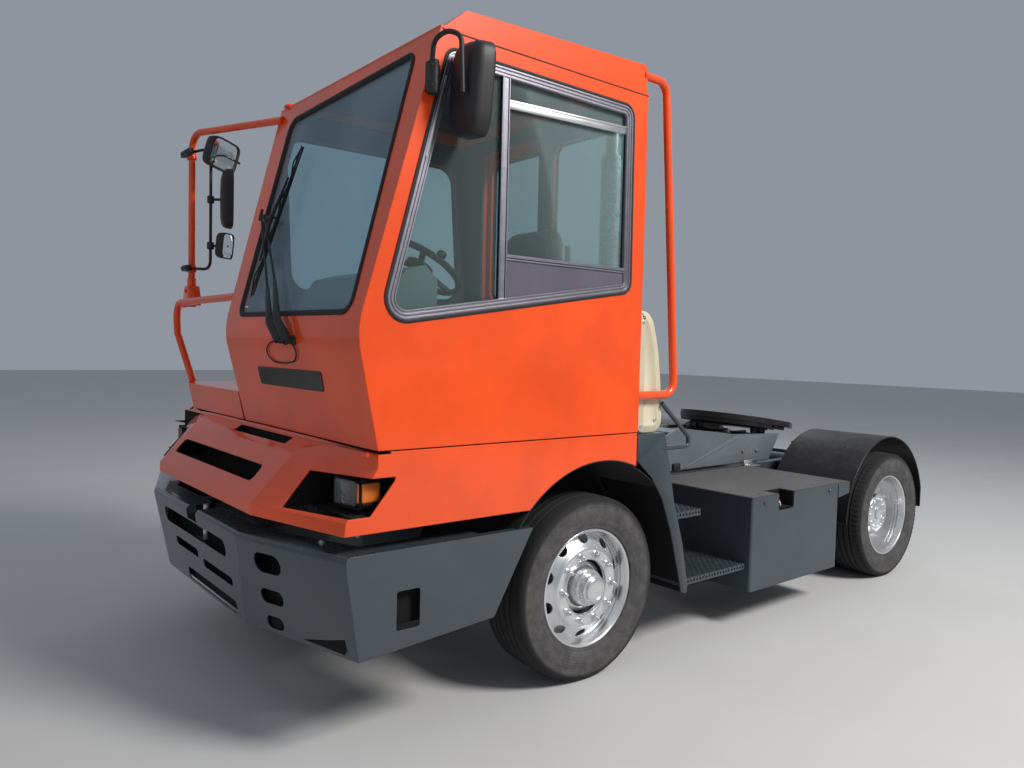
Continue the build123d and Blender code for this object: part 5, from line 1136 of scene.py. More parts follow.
class TRACTOR_OT_seat(bpy.types.Operator):
    """Makes the padded driver's seat on its sprung base"""

    bl_idname = "tractor.seat"
    bl_label = "Driver's seat"

    def execute(self, context):
        for name, centre, size, tilt in SEAT_PADS:
            pad = make_object(name, cushion(centre, size, tilt))
            pad.data.materials.append(FINISHES["cloth"])
            swell(pad, PAD_SWELL)
            smoother = pad.modifiers.new("smooth", "SUBSURF")
            smoother.levels = smoother.render_levels = 1
            settle(pad)
            for face in pad.data.polygons:
                face.use_smooth = True
            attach(pad, "cab")
        base = Form()
        base.blocks(SEAT_BLOCKS)
        front, rear = SCISSOR_STATIONS
        for across in (480, 790):
            for foot, head in ((front, rear), (rear, front)):
                base.rod((across, foot, 1420), (across, head, 1690), 14)
        for hand in HANDS:
            post = [(SEAT_MIDDLE + hand * out, station, height) for out, station, height in SEAT_POST]
            base.tube(rounded(post, 40), 16)
        piece("seat_base", base, "plastic", "cab", "driver_seat", bevel=4)
        return {"FINISHED"}


# Windows


def on_screen(x, height, proud):
    """A point proud of the windscreen's panel."""
    return (x, CREST[0] + SCREEN_LEAN * (height - CREST[1]) - proud * 0.96, height + proud * 0.28)


def on_left(station, height, proud):
    return (HALF_WIDTH + proud, station, height)


def on_right(station, height, proud):
    """A point proud of the cab's right wall, which leans out towards the roof."""
    return (CAB_RIGHT_LOW - RIGHT_LEAN * (height - CAB_BOTTOM) - proud, station, height)


def on_rear(x, height, proud):
    return (x, CAB_REAR + proud, height)


def on_door(x, height, proud):
    return (x, CAB_REAR + 38 + proud, height)


def box_outline(a, b, width, tall):
    """Corners of a rectangle by its middle and size."""
    return (
        (a - width / 2, b - tall / 2), (a + width / 2, b - tall / 2), (a + width / 2, b + tall / 2),
        (a - width / 2, b + tall / 2),
    )


SCREEN_CORNERS = ((-43, 1785), (1155, 1777), (1093, 2860), (-122, 2826))
SIDE_CORNERS = ((-1254, 1728), (153, 1942), (141, 2842), (-953, 2847))
SIDE_RADII = (90, 60, 60, 50)
# Sections of the mouldings: outward from the opening's edge, proud of the panel
SEAL = ((10, -1), (11, 3), (6, 6), (-4, 6.5), (-11, 4), (-16, -9), (-10, -11), (0, -3))
THIN_SEAL = ((10, -1), (10, 2.5), (-4, 4), (-13, 2), (-16, -9), (-8, -11))
FLAT_SEAL = ((10, 0), (8, 1.8), (-8, 2), (-14, -8))
SIDE_SEAL = ((8, -1), (9, 3), (4, 5.5), (-2, 5.5), (-5, 3), (-6, -6))
SIDE_FRAME = (
    (-3, -8), (-3, 2), (-7, 5), (-13, 5), (-15, -1), (-20, -1), (-22, 3), (-28, 3), (-30, -2),
    (-35, -2), (-37, 2), (-42, 2), (-46, -4), (-46, -16),
)
# Openings: name, body, corners, corner radius, section, place on the panel
WINDOW_SEALS = (
    ("windscreen_seal", "cab", SCREEN_CORNERS, 60, SEAL, on_screen),
    ("left_window_seal", "cab", SIDE_CORNERS, SIDE_RADII, SIDE_SEAL, on_left),
    ("right_window_seal", "cab", box_outline(-420, 2360, 1130, 860), 110, SEAL, on_right),
    ("rear_window_seal", "cab", box_outline(870, 2360, 560, 860), 70, FLAT_SEAL, on_rear),
    ("door_window_seal", "rear_door", box_outline(210, 2360, 480, 860), 70, THIN_SEAL, on_door),
)
MULLION = (-672, -632)
# Strips of the mullion: stations of its edges, proud of the panel
MULLION_STRIPS = ((-672, -667, 1), (-664, -640, -2), (-637, -632, 1))
INFILL_TOP = 2055
# Painted highlight: a bright strip along the front edge stands for the glint there; shares of the edge's
# length, distance behind it
GLINT_SHARES = (0.60, 0.90)
GLINT_SPAN = (14, 25)
# Upper bar: height at its front end and at its rear end, half its width
UPPER_BAR = (2695, 2722, 18)
PANE_BACK = HALF_WIDTH - 17
SLIDE_BACK = HALF_WIDTH - 19


def side_strip(near, far, inset):
    """A strip of the side window between two stations, inset from its lower and upper lines."""
    def line(station, first, last, shift):
        share = (station - first[0]) / (last[0] - first[0])
        return (station, first[1] + share * (last[1] - first[1]) + shift)

    foot, foot_rear, head_rear, head = SIDE_CORNERS
    return [
        line(near, foot, foot_rear, inset), line(far, foot, foot_rear, inset),
        line(far, head, head_rear, -inset), line(near, head, head_rear, -inset),
    ]


class TRACTOR_OT_windows(bpy.types.Operator):
    """Makes the rubber seals and the side window's sliding frame"""

    bl_idname = "tractor.windows"
    bl_label = "Window seals and frame"

    def surround(self, rear):
        frame_form = Form()
        frame_form.moulding(soft_outline(SIDE_CORNERS, SIDE_RADII), SIDE_FRAME, on_left)
        for low, high, proud in MULLION_STRIPS:
            frame_form.prism(side_strip(low, high, 40), "x", HALF_WIDTH - 16, HALF_WIDTH + proud)
        frame_form.prism(side_strip(*MULLION, 40), "x", SLIDE_BACK, HALF_WIDTH - 6)
        for drop, tall, proud in ((0, 13, -1), (17, 7, -3)):
            top = INFILL_TOP - drop
            frame_form.block((PANE_BACK, MULLION[1], top - tall), (HALF_WIDTH + proud, rear, top))
        piece("left_window_surround", frame_form, "aluminium", "cab", "left_window_frame", sharp=30)

    def execute(self, context):
        for name, body, corners, radius, section, spot in WINDOW_SEALS:
            seal = Form()
            seal.moulding(soft_outline(corners, radius), section, spot)
            piece(name, seal, "rubber", body, sharp=50)
        rear = SIDE_CORNERS[1][0] - 40
        self.surround(rear)
        bars = Form()
        front_high, rear_high, half = UPPER_BAR
        for low, high, proud in ((-1, 1, -4), (0.45, 1, -1)):
            bars.prism([
                (MULLION[1], front_high + half * low), (rear + 6, rear_high + half * low),
                (rear + 6, rear_high + half * high), (MULLION[1], front_high + half * high),
            ], "x", PANE_BACK, HALF_WIDTH + proud)
        piece("left_window_bar", bars, "bright_aluminium", "cab", bevel=1)
        panel = Form()
        low_front, low_rear = side_strip(MULLION[1], rear, 44)[:2]
        panel.prism([low_front, (rear + 4, low_rear[1]), (rear + 4, INFILL_TOP - 20),
                     (MULLION[1], INFILL_TOP - 20)], "x", PANE_BACK, HALF_WIDTH - 8)
        piece("left_window_infill", panel, "infill", "cab")
        # painted highlight: a bright metal strip set along part of the frame's front edge
        glint = Form()
        (foot, low), (head, high) = SIDE_CORNERS[0], SIDE_CORNERS[3]
        ends = [(foot + (head - foot) * share, low + (high - low) * share) for share in GLINT_SHARES]
        near, far = GLINT_SPAN
        (foot, low), (head, high) = ends
        glint.prism([(foot + near, low), (foot + far, low), (head + far, high), (head + near, high)],
                    "x", HALF_WIDTH, HALF_WIDTH + 4.5)
        piece("left_window_front_glint", glint, "bright_aluminium", "cab", bevel=1)
        slide = Form()
        slide.block((SLIDE_BACK, rear - 16, INFILL_TOP), (HALF_WIDTH - 7, rear + 2, rear_high - half))
        slide.block((SLIDE_BACK, MULLION[1], INFILL_TOP), (HALF_WIDTH - 12, MULLION[1] + 6, front_high))
        piece("left_window_slide", slide, "rubber", "cab")
        return {"FINISHED"}


# Body panels

NOSE_FRONT = -1262
NOSE_SIDE = -1245
NOSE_CORNER = 684
# The lip under the cab: x, station of its front, height of its top, low at the ends to clear the tipping cab
NOSE_LIP = (
    (-1120, NOSE_SIDE - 17, 1222), (-NOSE_CORNER, NOSE_FRONT, 1236), (NOSE_CORNER, NOSE_FRONT, 1236),
    (HALF_WIDTH - 1, NOSE_SIDE, 1226),
)
LIP_BOTTOM = 1219
# Side lips: side and front station; their rear station and heights; the short end by the left corner
LIP_STARTS = ((1, -1188), (-1, -1040))
LIP_REAR = 238
LIP_HEIGHTS = (1222, 1235)
LIP_END = ((-1244, 1219), (-1186, 1219), (-1186, 1226), (-1238, 1226))
# Painted shade behind the cab's foot: near-black curtains, side outline and span, then the rear one
SHADE_CURTAIN = ((-1150, 1180), (200, 1180), (200, 1290), (-1150, 1290))
SHADE_CURTAIN_SPAN = (1190, 1196)
SHADE_CURTAIN_REAR = ((-1190, 194, 1180), (1190, 199, 1290))
# Painted shade: near-black linings behind the nose's slot, the bumper's front and the bumper's side opening
NOSE_SHADE_SHEET = ((-1180, -1250, 930), (860, -1246, 1214))
BUMPER_SHADE_SHEET = ((-600, -1487, 432), (600, -1484, 826))
SIDE_SHADE_SHEET = ((-1300, 520), (-900, 520), (-900, 760), (-1300, 760))
# Painted shade in the lamp pocket: near-black sides, side wall, rear wall, and floor and top by their front
# stations and height
LAMP_POCKET = (862, 1243)
POCKET_SHADE_WALL = ((-1462, 978), (-1160, 978), (-1160, 1138), (-1326, 1138))
POCKET_SHADE_REAR = ((-1162, 974), (-1158, 1142))
POCKET_SHADE_SHELVES = ((-1330, -1330, 973), (-1290, -1230, 1138))
# Painted shade: a near-black sheet inside the bumper's swept corner
BUMPER_SHADE_WEB = ((600, -1487), (600, -1484), (1190, -1342), (1190, -1345))
# Painted shade inside the front wheel arches: span across, radii of the curved sheet, and the foot of its
# flat wall
ARCH_SPAN = (560, 728)
ARCH_RADII = (641, 645)
ARCH_FOOT = ((-300, 800), (300, 800))
# Bolts: on the bumper's top, and on the frame's sides by x, stations and height
BUMPER_BOLTS = ((978, -1345, 840), (-978, -1345, 840))
RAIL_BOLTS = (445, (-900, -500, -100), 700)
# The bumper's rounded top edge: x and station of its line outside the notch, height, radius
BUMPER_LINE = ((630.6, -1548.4), (1246, -1353.4))
BUMPER_TOP = 816
BUMPER_EDGE = 23.9
BODY_CAPS = ((1206, -1270, 1220), (-1190, -1205, 1222))
NAMEPLATE = ((177, 1534), (877, 1534), (872, 1448), (184, 1448))


def on_cab_front(x, height, proud):
    """A point proud of the panel below the windscreen."""
    return (x, CREST[0] - FRONT_LEAN * (height - CREST[1]) - proud, height)


class TRACTOR_OT_panels(bpy.types.Operator):
    """Makes the body's seams, the near-black linings of painted shade, blank nameplate, the roof's dark strip
    of painted shadow and small fasteners
    """

    bl_idname = "tractor.panels"
    bl_label = "Panels and linings"

    def seams(self):
        seams = Form()
        seams.skin([
            [(x, station, LIP_BOTTOM), (x, station + 12, top), (x, station + 15, top),
             (x, station + 4, LIP_BOTTOM)]
            for x, station, top in NOSE_LIP
        ])
        near, far = HALF_WIDTH - 5, HALF_WIDTH - 1
        low, high = LIP_HEIGHTS
        for hand, start in LIP_STARTS:
            seams.slab([(start, low), (LIP_REAR, low), (LIP_REAR, high), (start, high)], hand, near, far)
        seams.slab(LIP_END, 1, near, far)
        piece("lower_body_seam", seams, "body", "chassis")
        # painted shade: near-black curtains darken the gap under the cab's foot
        shade_curtains = Form()
        for hand in HANDS:
            shade_curtains.slab(SHADE_CURTAIN, hand, *SHADE_CURTAIN_SPAN)
        shade_curtains.block(*SHADE_CURTAIN_REAR)
        piece("cab_foot_painted_shade", shade_curtains, "void", "cab")

    def linings(self):
        # painted shade: near-black sheets in the nose's slot, the bumper, the lamp pockets and the bumper's
        # side openings
        shade_lining = Form()
        shade_lining.blocks((NOSE_SHADE_SHEET, BUMPER_SHADE_SHEET))
        inner, outer = LAMP_POCKET
        (front, low), (rear, high) = POCKET_SHADE_REAR
        for hand in HANDS:
            near, far = sorted((hand * inner, hand * outer))
            shade_lining.slab(POCKET_SHADE_WALL, hand, inner, inner + 4)
            shade_lining.block((near, front, low), (far, rear, high))
            for near_front, far_front, floor in POCKET_SHADE_SHELVES:
                shelf = [(near, near_front), (far, far_front), (far, rear - 2), (near, rear - 2)]
                shade_lining.prism(shelf, "z", floor, floor + 4)
            shade_lining.skin([
                [(hand * x, station, height) for x, station in BUMPER_SHADE_WEB] for height in (440, 822)
            ])
            shade_lining.slab(SIDE_SHADE_SHEET, hand, 1205, 1208)
        piece("nose_shade_linings", shade_lining, "void", "chassis")

    def arch_shades(self):
        # painted shade: near-black sheets that darken the front wheel arches
        arch_shades = Form()
        inner, outer = ARCH_SPAN
        angles = [12 + step * 6.5 for step in range(25)]
        for hand in HANDS:
            sweep = []
            for angle in angles:
                low, high = (turned(angle, radius, (0, TYRE_RADIUS)) for radius in ARCH_RADII)
                sweep.append([(hand * inner, *low), (hand * outer, *low), (hand * outer, *high),
                              (hand * inner, *high)])
            arch_shades.skin(sweep)
            wall = [turned(angle, sum(ARCH_RADII) / 2, (0, TYRE_RADIUS)) for angle in angles]
            arch_shades.slab(wall + list(ARCH_FOOT), hand, inner, inner + 4)
        piece("inner_arch_painted_shade", arch_shades, "void", "chassis")

    def trim(self):
        plate = Form()
        plate.skin([
            [on_cab_front(*corner, proud) for corner in grown(soft_outline(NAMEPLATE, 14, 4), inset)]
            for inset, proud in ((0, -2), (0, 2.5), (-2, 4), (-6, 4), (-8, 2.8))
        ])
        piece("blank_nameplate", plate, "nameplate", "cab")
        # painted shadow: a thin dark strip along the left eaves stands for the shadow under the roof's lip
        shadow_strip = Form()
        inner = HALF_WIDTH - 1
        shadow_strip.skin([
            [(HALF_WIDTH + out, -985, height), (HALF_WIDTH + out, CAB_REAR, height),
             (inner, CAB_REAR, height), (inner, -985, height)]
            for out, height in (
                (0.5, CAB_EAVES - 5), (2, CAB_EAVES - 4), (2, CAB_EAVES - 1), (0.5, CAB_EAVES))
        ])
        piece("roof_lip_shadow_left", shadow_strip, "rubber", "cab")
        caps = Form()
        for spot in BODY_CAPS:
            caps.disc(spot, (0, -0.9, 1), ((-2, 15), (4, 15), (7, 12), (8, 6)), 20)
        piece("lower_body_caps", caps, "body", "chassis")
        edge = Form()
        for hand, notch in ((1, 84), (-1, 56)):
            line = ((notch, BUMPER_LINE[0][1]), *BUMPER_LINE)
            edge.tube([(hand * x, station, BUMPER_TOP) for x, station in line], BUMPER_EDGE, 28)
        piece("bumper_rolled_edge", edge, "bumper", "chassis", sharp=60)
        bolts = Form()
        for spot in BUMPER_BOLTS:
            bolts.bolt(spot, (0, 0, 1), 15)
        x, stations, height = RAIL_BOLTS
        for station, hand in product(stations, HANDS):
            bolts.bolt((hand * x, station, height), (hand, 0, 0), 11)
        piece("nose_bolts", bolts, "zinc", "chassis")

    def execute(self, context):
        self.seams()
        self.linings()
        self.arch_shades()
        self.trim()
        return {"FINISHED"}


# Lamps

LAMP_PLACE = (1088, -1240, 1061)
LAMP_TURN = 10
# Half sizes of a headlamp: across, deep, tall
LAMP_HALF = (84, 62, 58)
RIM_WIDTH = 9
# Reflectors: height above the lamp's middle, size; and the bowl's outward place and reach
REFLECTORS = ((24, 0.56), (-26, 0.50))
BOWL = ((0, 14), (3, 20), (8, 42), (15, 50), (15.5, 53), (0, 54))
# Tail lamps: middle of the left one, its width and height
TAIL_LAMP = ((501, 3560, 740), 140, 100)
TAIL_LENS_HALF = 43
# Tail lenses: colour, span across outward from the lamp's middle
TAIL_LENSES = (("red", -66, -18), ("amber", -14, 22), ("clear", 26, 66))


def lamp_spot(hand, across, out, rise):
    """A point of a headlamp, turned with its block, on the left or right side."""
    turn = math.radians(LAMP_TURN)
    return (
        hand * (LAMP_PLACE[0] + across * math.cos(turn) + out * math.sin(turn)),
        LAMP_PLACE[1] + across * math.sin(turn) - out * math.cos(turn),
        LAMP_PLACE[2] + rise,
    )


def lamp_block(form, hand, low, high, taper=0.0):
    """A box with soft corners in a headlamp's own directions; taper draws in its front face."""
    loops = []
    steps = ((low[1], 0.0), (high[1] - 4, 0.0), (high[1], 3.0 + taper))
    for out, inset in steps:
        corners = (
            (low[0] + inset, low[2] + inset), (high[0] - inset, low[2] + inset),
            (high[0] - inset, high[2] - inset), (low[0] + inset, high[2] - inset),
        )
        loops.append([lamp_spot(hand, across, out, rise) for across, rise in soft_outline(corners, 9, 4)])
    form.skin(loops)


class TRACTOR_OT_lamps(bpy.types.Operator):
    """Makes the headlamps with their side indicators, and the tail lamps"""

    bl_idname = "tractor.lamps"
    bl_label = "Lamps"

    def headlamps(self):
        wide, deep, tall = LAMP_HALF
        housing, bowls, lenses, ambers = Form(), Form(), Form(), Form()
        rims = (
            ((-wide, 38, -tall), (-wide + RIM_WIDTH, 60, tall)),
            ((wide - RIM_WIDTH, 38, -tall), (wide, 60, tall)),
            ((-wide, 38, -tall), (wide, 60, -tall + RIM_WIDTH)),
            ((-wide, 38, tall - RIM_WIDTH), (wide, 60, tall)),
        )
        for hand in HANDS:
            lamp_block(housing, hand, (-wide, -deep, -tall), (wide, 40, tall))
            for low, high in rims:
                lamp_block(housing, hand, low, high)
            lamp_block(housing, hand, (wide - 8, -52, -tall + 8), (wide + 6, 52, tall - 6))
            facing = Vector(lamp_spot(hand, 0, 1, 0)) - Vector(lamp_spot(hand, 0, 0, 0))
            for rise, size in REFLECTORS:
                bowl = [(out, reach * size) for out, reach in BOWL]
                bowls.disc(lamp_spot(hand, -12, 41, rise), facing, bowl, 28)
                bowls.disc(lamp_spot(hand, -12, 43, rise), facing, ((0, 7), (12, 6), (15, 3)), 12)
            lamp_block(lenses, hand, (-wide + 7, 54, -tall + 8), (wide - 26, 66, tall - 8), 2)
            lamp_block(ambers, hand, (wide - 22, 44, -tall + 22), (wide - 4, 66, tall - 14), 1)
            lamp_block(ambers, hand, (wide - 10, -30, -tall + 22), (wide + 11, 54, tall - 14), 1)
            housing.rod(lamp_spot(hand, 0, -deep, -46), (hand * LAMP_PLACE[0], -1156, 1015), 15)
        piece("headlamp_housings", housing, "plastic", "chassis", "headlamps", bevel=1.5)
        piece("headlamp_reflectors", bowls, "silver", "chassis", sharp=60)
        piece("headlamp_lenses", lenses, "clear_lens", "chassis")
        piece("side_indicators", ambers, "amber_lens", "chassis")

    def tail_lamps(self):
        (across, station, height), wide, tall = TAIL_LAMP
        backs = Form()
        for hand in HANDS:
            backs.skin([
                [(hand * across + a, station - 48 + out, height + b)
                 for a, b in soft_outline(box_outline(0, 0, wide - inset, tall - inset), 10, 4)]
                for out, inset in ((0, 8), (6, 0), (40, 0), (43, 6))
            ])
        piece("tail_lamp_backs", backs, "plastic", "chassis", "tail_lamps")
        half = TAIL_LENS_HALF
        for colour, low, high in TAIL_LENSES:
            form = Form()
            middle, width = (low + high) / 2, high - low
            for hand in HANDS:
                form.skin([
                    [(hand * (across + a), station - 6 + out, height + b) for a, b in soft_outline(
                        box_outline(middle, 0, width - 2 * inset, 2 * (half - inset)), 5, 3)]
                    for out, inset in ((-1, 0), (8, 0), (12, 3), (13, 8))
                ])
            piece(f"tail_lamp_{colour}_lenses", form, f"{colour}_lens", "chassis")

    def execute(self, context):
        self.headlamps()
        self.tail_lamps()
        return {"FINISHED"}


# Wiper

WIPER_OFF = 38
# Arms: x and height at the pivot, at the cover's end and at the link
WIPER_ARMS = (((570, 1662), (330, 1905), (-40, 2290)), ((655, 1662), (395, 1935), (10, 2283)))
WIPER_LINK = ((-40, 2290), (152, 2262))
WIPER_PIVOT = ((-6, 22), (4, 22), (6, 16), (30, 15), (36, 10))
WIPER_LINK_STUB = ((-48, 2272), (-58, 2330))
WIPER_BLADE = ((108, 1880), (192, 2625))
# Claws of the blade: share of its length, half length as a share
BLADE_CLAWS = ((0.12, 0.13), (0.37, 0.12), (0.63, 0.12), (0.88, 0.11))
# Its bridge: share of the length, out from the blade
BLADE_BRIDGE = ((0.22, (0, -12, 4)), (0.5, (0, -26, 8)), (0.78, (0, -12, 4)))
HOSE_LOOP = (
    (632, 1664), (682, 1612), (640, 1570), (520, 1556), (405, 1562), (350, 1588), (345, 1622), (400, 1650),
    (490, 1664),
)


def before_screen(x, height, off):
    """A point before the cab's front at a distance off it, over or under the crest."""
    lean = SCREEN_LEAN if height > CREST[1] else -FRONT_LEAN
    return (x, CREST[0] + lean * (height - CREST[1]) - off, height)


class TRACTOR_OT_wiper(bpy.types.Operator):
    """Makes the twin-armed wiper, its covers, blade and washer hose"""

    bl_idname = "tractor.wiper"
    bl_label = "Wiper"

    def execute(self, context):
        arms = Form()
        for pivot, knee, link in WIPER_ARMS:
            arms.disc(before_screen(*pivot, 2), (0, -1, 0), WIPER_PIVOT, 20)
            third = [(end * 2 + far) / 3 for end, far in zip(pivot, knee)]
            covers = [before_screen(*pivot, 30), before_screen(*third, WIPER_OFF + 6),
                      before_screen(*knee, WIPER_OFF)]
            arms.tube(covers, [24, 20, 11], 12, flat=0.6)
            arms.tube([before_screen(*knee, WIPER_OFF), before_screen(*link, WIPER_OFF)], 6, 10)
            arms.disc(before_screen(*link, WIPER_OFF), (0, -1, 0), ((-10, 9), (-8, 13), (8, 13), (10, 9)), 16)
        start, end = (before_screen(*spot, WIPER_OFF - 2) for spot in WIPER_LINK)
        arms.tube([start, end], 9, 10, flat=0.6)
        arms.tube([before_screen(*spot, WIPER_OFF) for spot in WIPER_LINK_STUB], 8, 8)
        piece("wiper_arms", arms, "plastic", "cab", "wiper", bevel=1)
        blade = Form()
        low, high = (Vector(before_screen(*end, WIPER_OFF - 14)) for end in WIPER_BLADE)
        along = (high - low).normalized()
        blade.tube([low, low.lerp(high, 0.5), high], [4, 7, 4], 8)
        for share, reach in BLADE_CLAWS:
            middle = low.lerp(high, share)
            out = Vector((0, -13, 4))
            span = along * (high - low).length * reach
            blade.tube([middle - span - out * 0.2, middle + out, middle + span - out * 0.2], 4, 8)
        blade.tube([low.lerp(high, share) + Vector(out) for share, out in BLADE_BRIDGE], [5, 9, 5], 8)
        rubber = Vector((0, 9, -3))
        blade.tube([low + rubber, high + rubber], 4.5, 6)
        piece("wiper_blade", blade, "rubber", "cab")
        hose = Form()
        hose.tube(rounded([before_screen(x, height, 6) for x, height in HOSE_LOOP], 60), 3.2, 8)
        piece("washer_hose", hose, "rubber", "cab")
        return {"FINISHED"}


# Steps and boxes

PLATE_OUTLINE = (
    (275, 1222), (490, 1222), (584, 841), (665, 606), (721, 364), (712, 318), (668, 330), (650, 400),
    (560, 690), (483, 870), (394, 990), (275, 1090),
)
PANEL_OUTLINE = (
    (289, 1222), (289, 1858), (352, 1858), (398, 1815), (442, 1680), (470, 1500), (486, 1330), (486, 1262),
    (440, 1222),
)
# Treads: front station, rear station, height of the top
TREADS = ((600, 830, 775), (660, 1270, 395))
TREAD_SPAN = (780, 1216)
GRATING_PITCH = 44
PLATE_SKIN = (1216, 1224)
PLATE_BLOCKS = (((1154, 275, 1214), (1220, 490, 1222)), ((430.3, 670, 700), (779.7, 730, 760)))
# Painted shade: near-black sheets under the treads and behind the plate's front edge
SHADE_BLOCKS = (((784, 664, 352), (1208, 1262, 356)), ((784, 604, 738), (1208, 826, 742)))
SHADE_SPAN = (784, 1214)
BUFFERS = (((404, 1560, 822), (426, 1630, 868)), ((-426, 1560, 822), (-404, 1630, 868)))
# The stringer that carries both treads: station and height
STRINGER = ((620, 790), (830, 790), (1270, 400), (1270, 350), (682, 350))
STRINGER_SPAN = (772, 780)
# Cream panel: x and inset of its outline, out over the face to the groove
PANEL_LAYERS = (
    (1167, 0), (1190, 0), (1197, -2.5), (1200.5, -8), (1200.5, -34), (1203, -37), (1203, -43), (1199, -47),
)
PANEL_SCREWS = ((428, 1291), (444, 1433), (318, 1262), (318, 1800))


GRATING_EDGE = 5
GRATING_DEPTH = 30
# Holes in the outer edge: pitch, radius; its teeth: pitch, length, height
EDGE_HOLES = (27, 7.5)
EDGE_TEETH = (18, 9, 4)


def grating_edge(form, front, rear, top):
    """The pierced and toothed outer edge of a tread."""
    far = TREAD_SPAN[1]
    near = far - GRATING_EDGE
    form.block((near, front, top - 34), (far, rear, top))
    pitch, radius = EDGE_HOLES
    punch = Form()
    for index in range(math.ceil((rear - front - 36) / pitch)):
        spot = (far - 12, front + 22 + index * pitch, top - 17)
        punch.disc(spot, (1, 0, 0), ((0, radius), (20, radius)), 10)
    form.cut(punch)
    pitch, length, tall = EDGE_TEETH
    for index in range(math.ceil((rear - front - 16) / pitch)):
        station = front + 8 + index * pitch
        form.block((near, station, top), (far, station + length, top + tall))


def grating(form, front, rear, top):
    """Diamond grating: two sets of slanting strips within a frame with a toothed outer edge."""
    grating_edge(form, front, rear, top)
    near, far = TREAD_SPAN
    low = top - GRATING_DEPTH
    for station in (front, rear - 4):
        form.block((near, station, low), (far, station + 4, top))
    form.block((near, front, low), (near + 4, rear, top))
    span = far - near
    for index in range(math.ceil((rear - front + span) / GRATING_PITCH)):
        start = front - span + index * GRATING_PITCH
        x0, s0 = near + max(0, front - start), max(start, front)
        x1, s1 = far - max(0, start + span - rear), min(start + span, rear)
        if x1 - x0 > 12:
            for first, last in ((x0, x1), (near + far - x0, near + far - x1)):
                form.skin([
                    [(first - 2.5, s0, z), (first + 2.5, s0, z), (last + 2.5, s1, z), (last - 2.5, s1, z)]
                    for z in (top - 9, top - 1)
                ])


class TRACTOR_OT_steps(bpy.types.Operator):
    """Makes the step plate, the gratings, the cream side panel and the boom's buffers"""

    bl_idname = "tractor.steps"
    bl_label = "Steps"

    def execute(self, context):
        plate = Form()
        plate.prism(PLATE_OUTLINE, "x", *PLATE_SKIN)
        plate.prism(STRINGER, "x", *STRINGER_SPAN)
        plate.blocks(PLATE_BLOCKS)
        piece("step_plate", plate, "chassis", "chassis", "left_steps", bevel=1.5)
        for index, (front, rear, top) in enumerate(TREADS):
            tread = Form()
            grating(tread, front, rear, top)
            piece(f"step_grating_{index + 1}", tread, "chassis", "chassis")
        # painted shade: near-black sheets under the gratings and behind the step plate
        shade_sheets = Form()
        shade_sheets.blocks(SHADE_BLOCKS)
        edge = [(station + 6, height) for station, height in PLATE_OUTLINE[6:][::-1]]
        edge += [(station + 4, height) for station, height in edge[::-1]]
        shade_sheets.prism(edge, "x", *SHADE_SPAN)
        piece("step_painted_shade", shade_sheets, "void", "chassis")
        panel = Form()
        outline = rounded(PANEL_OUTLINE, 60, 5, closed=True)
        panel.skin([
            [(x, *corner) for corner in grown(outline, inset)] for x, inset in PANEL_LAYERS
        ])
        piece("cream_side_panel", panel, "cream", "chassis", "side_panel", sharp=50)
        screws = Form()
        for spot in PANEL_SCREWS:
            screws.disc((1200, *spot), (1, 0, 0), ((-3, 11), (2, 11), (4, 7)), 14)
        piece("cream_panel_screws", screws, "zinc", "chassis")
        buffers = Form()
        buffers.blocks(BUFFERS)
        piece("boom_buffers", buffers, "rubber", "chassis", bevel=5)
        return {"FINISHED"}


BOX_FRONT = {1: 1276, -1: 730}
DECK_REAR = 2414
# Deck plates: edges across, lower and upper face
DECK_SPAN = (436, 1242)
DECK_SKIN = (791.5, 794.5)
# The notch in the left box's lid: inner edge, middle station, half its length with a margin
NOTCH = (1134, 1640, 91)
# Painted shade: near-black walls and floor inside the notch
NOTCH_SHADE_BLOCKS = (
    ((1141, 1556, 696), (1144, 1724, 791)), ((1141, 1556, 696), (1243, 1559, 791)),
    ((1141, 1721, 696), (1243, 1724, 791)), ((1141, 1556, 696), (1243, 1724, 699)),
)
# Cables in the notch: colour, height, how far the loop stands out
NOTCH_CABLES = (("red", 742, 0), ("white", 722, 12))
LID_BOLT_HEIGHT = 752
# Low round heads on the deck and bolts along the frame: stations, then x or heights
DECK_SCREWS = ((1450, 2050), (520, 1180))
FRAME_BOLTS = ((1330, 1700, 2080, 2500, 2950, 3380), (620, 740))
FRAME_FACE = 430
CATCH_BLOCKS = (((431, 2360, 794), (446, 2520, 838)), ((446, 2380, 794), (500, 2500, 800)))


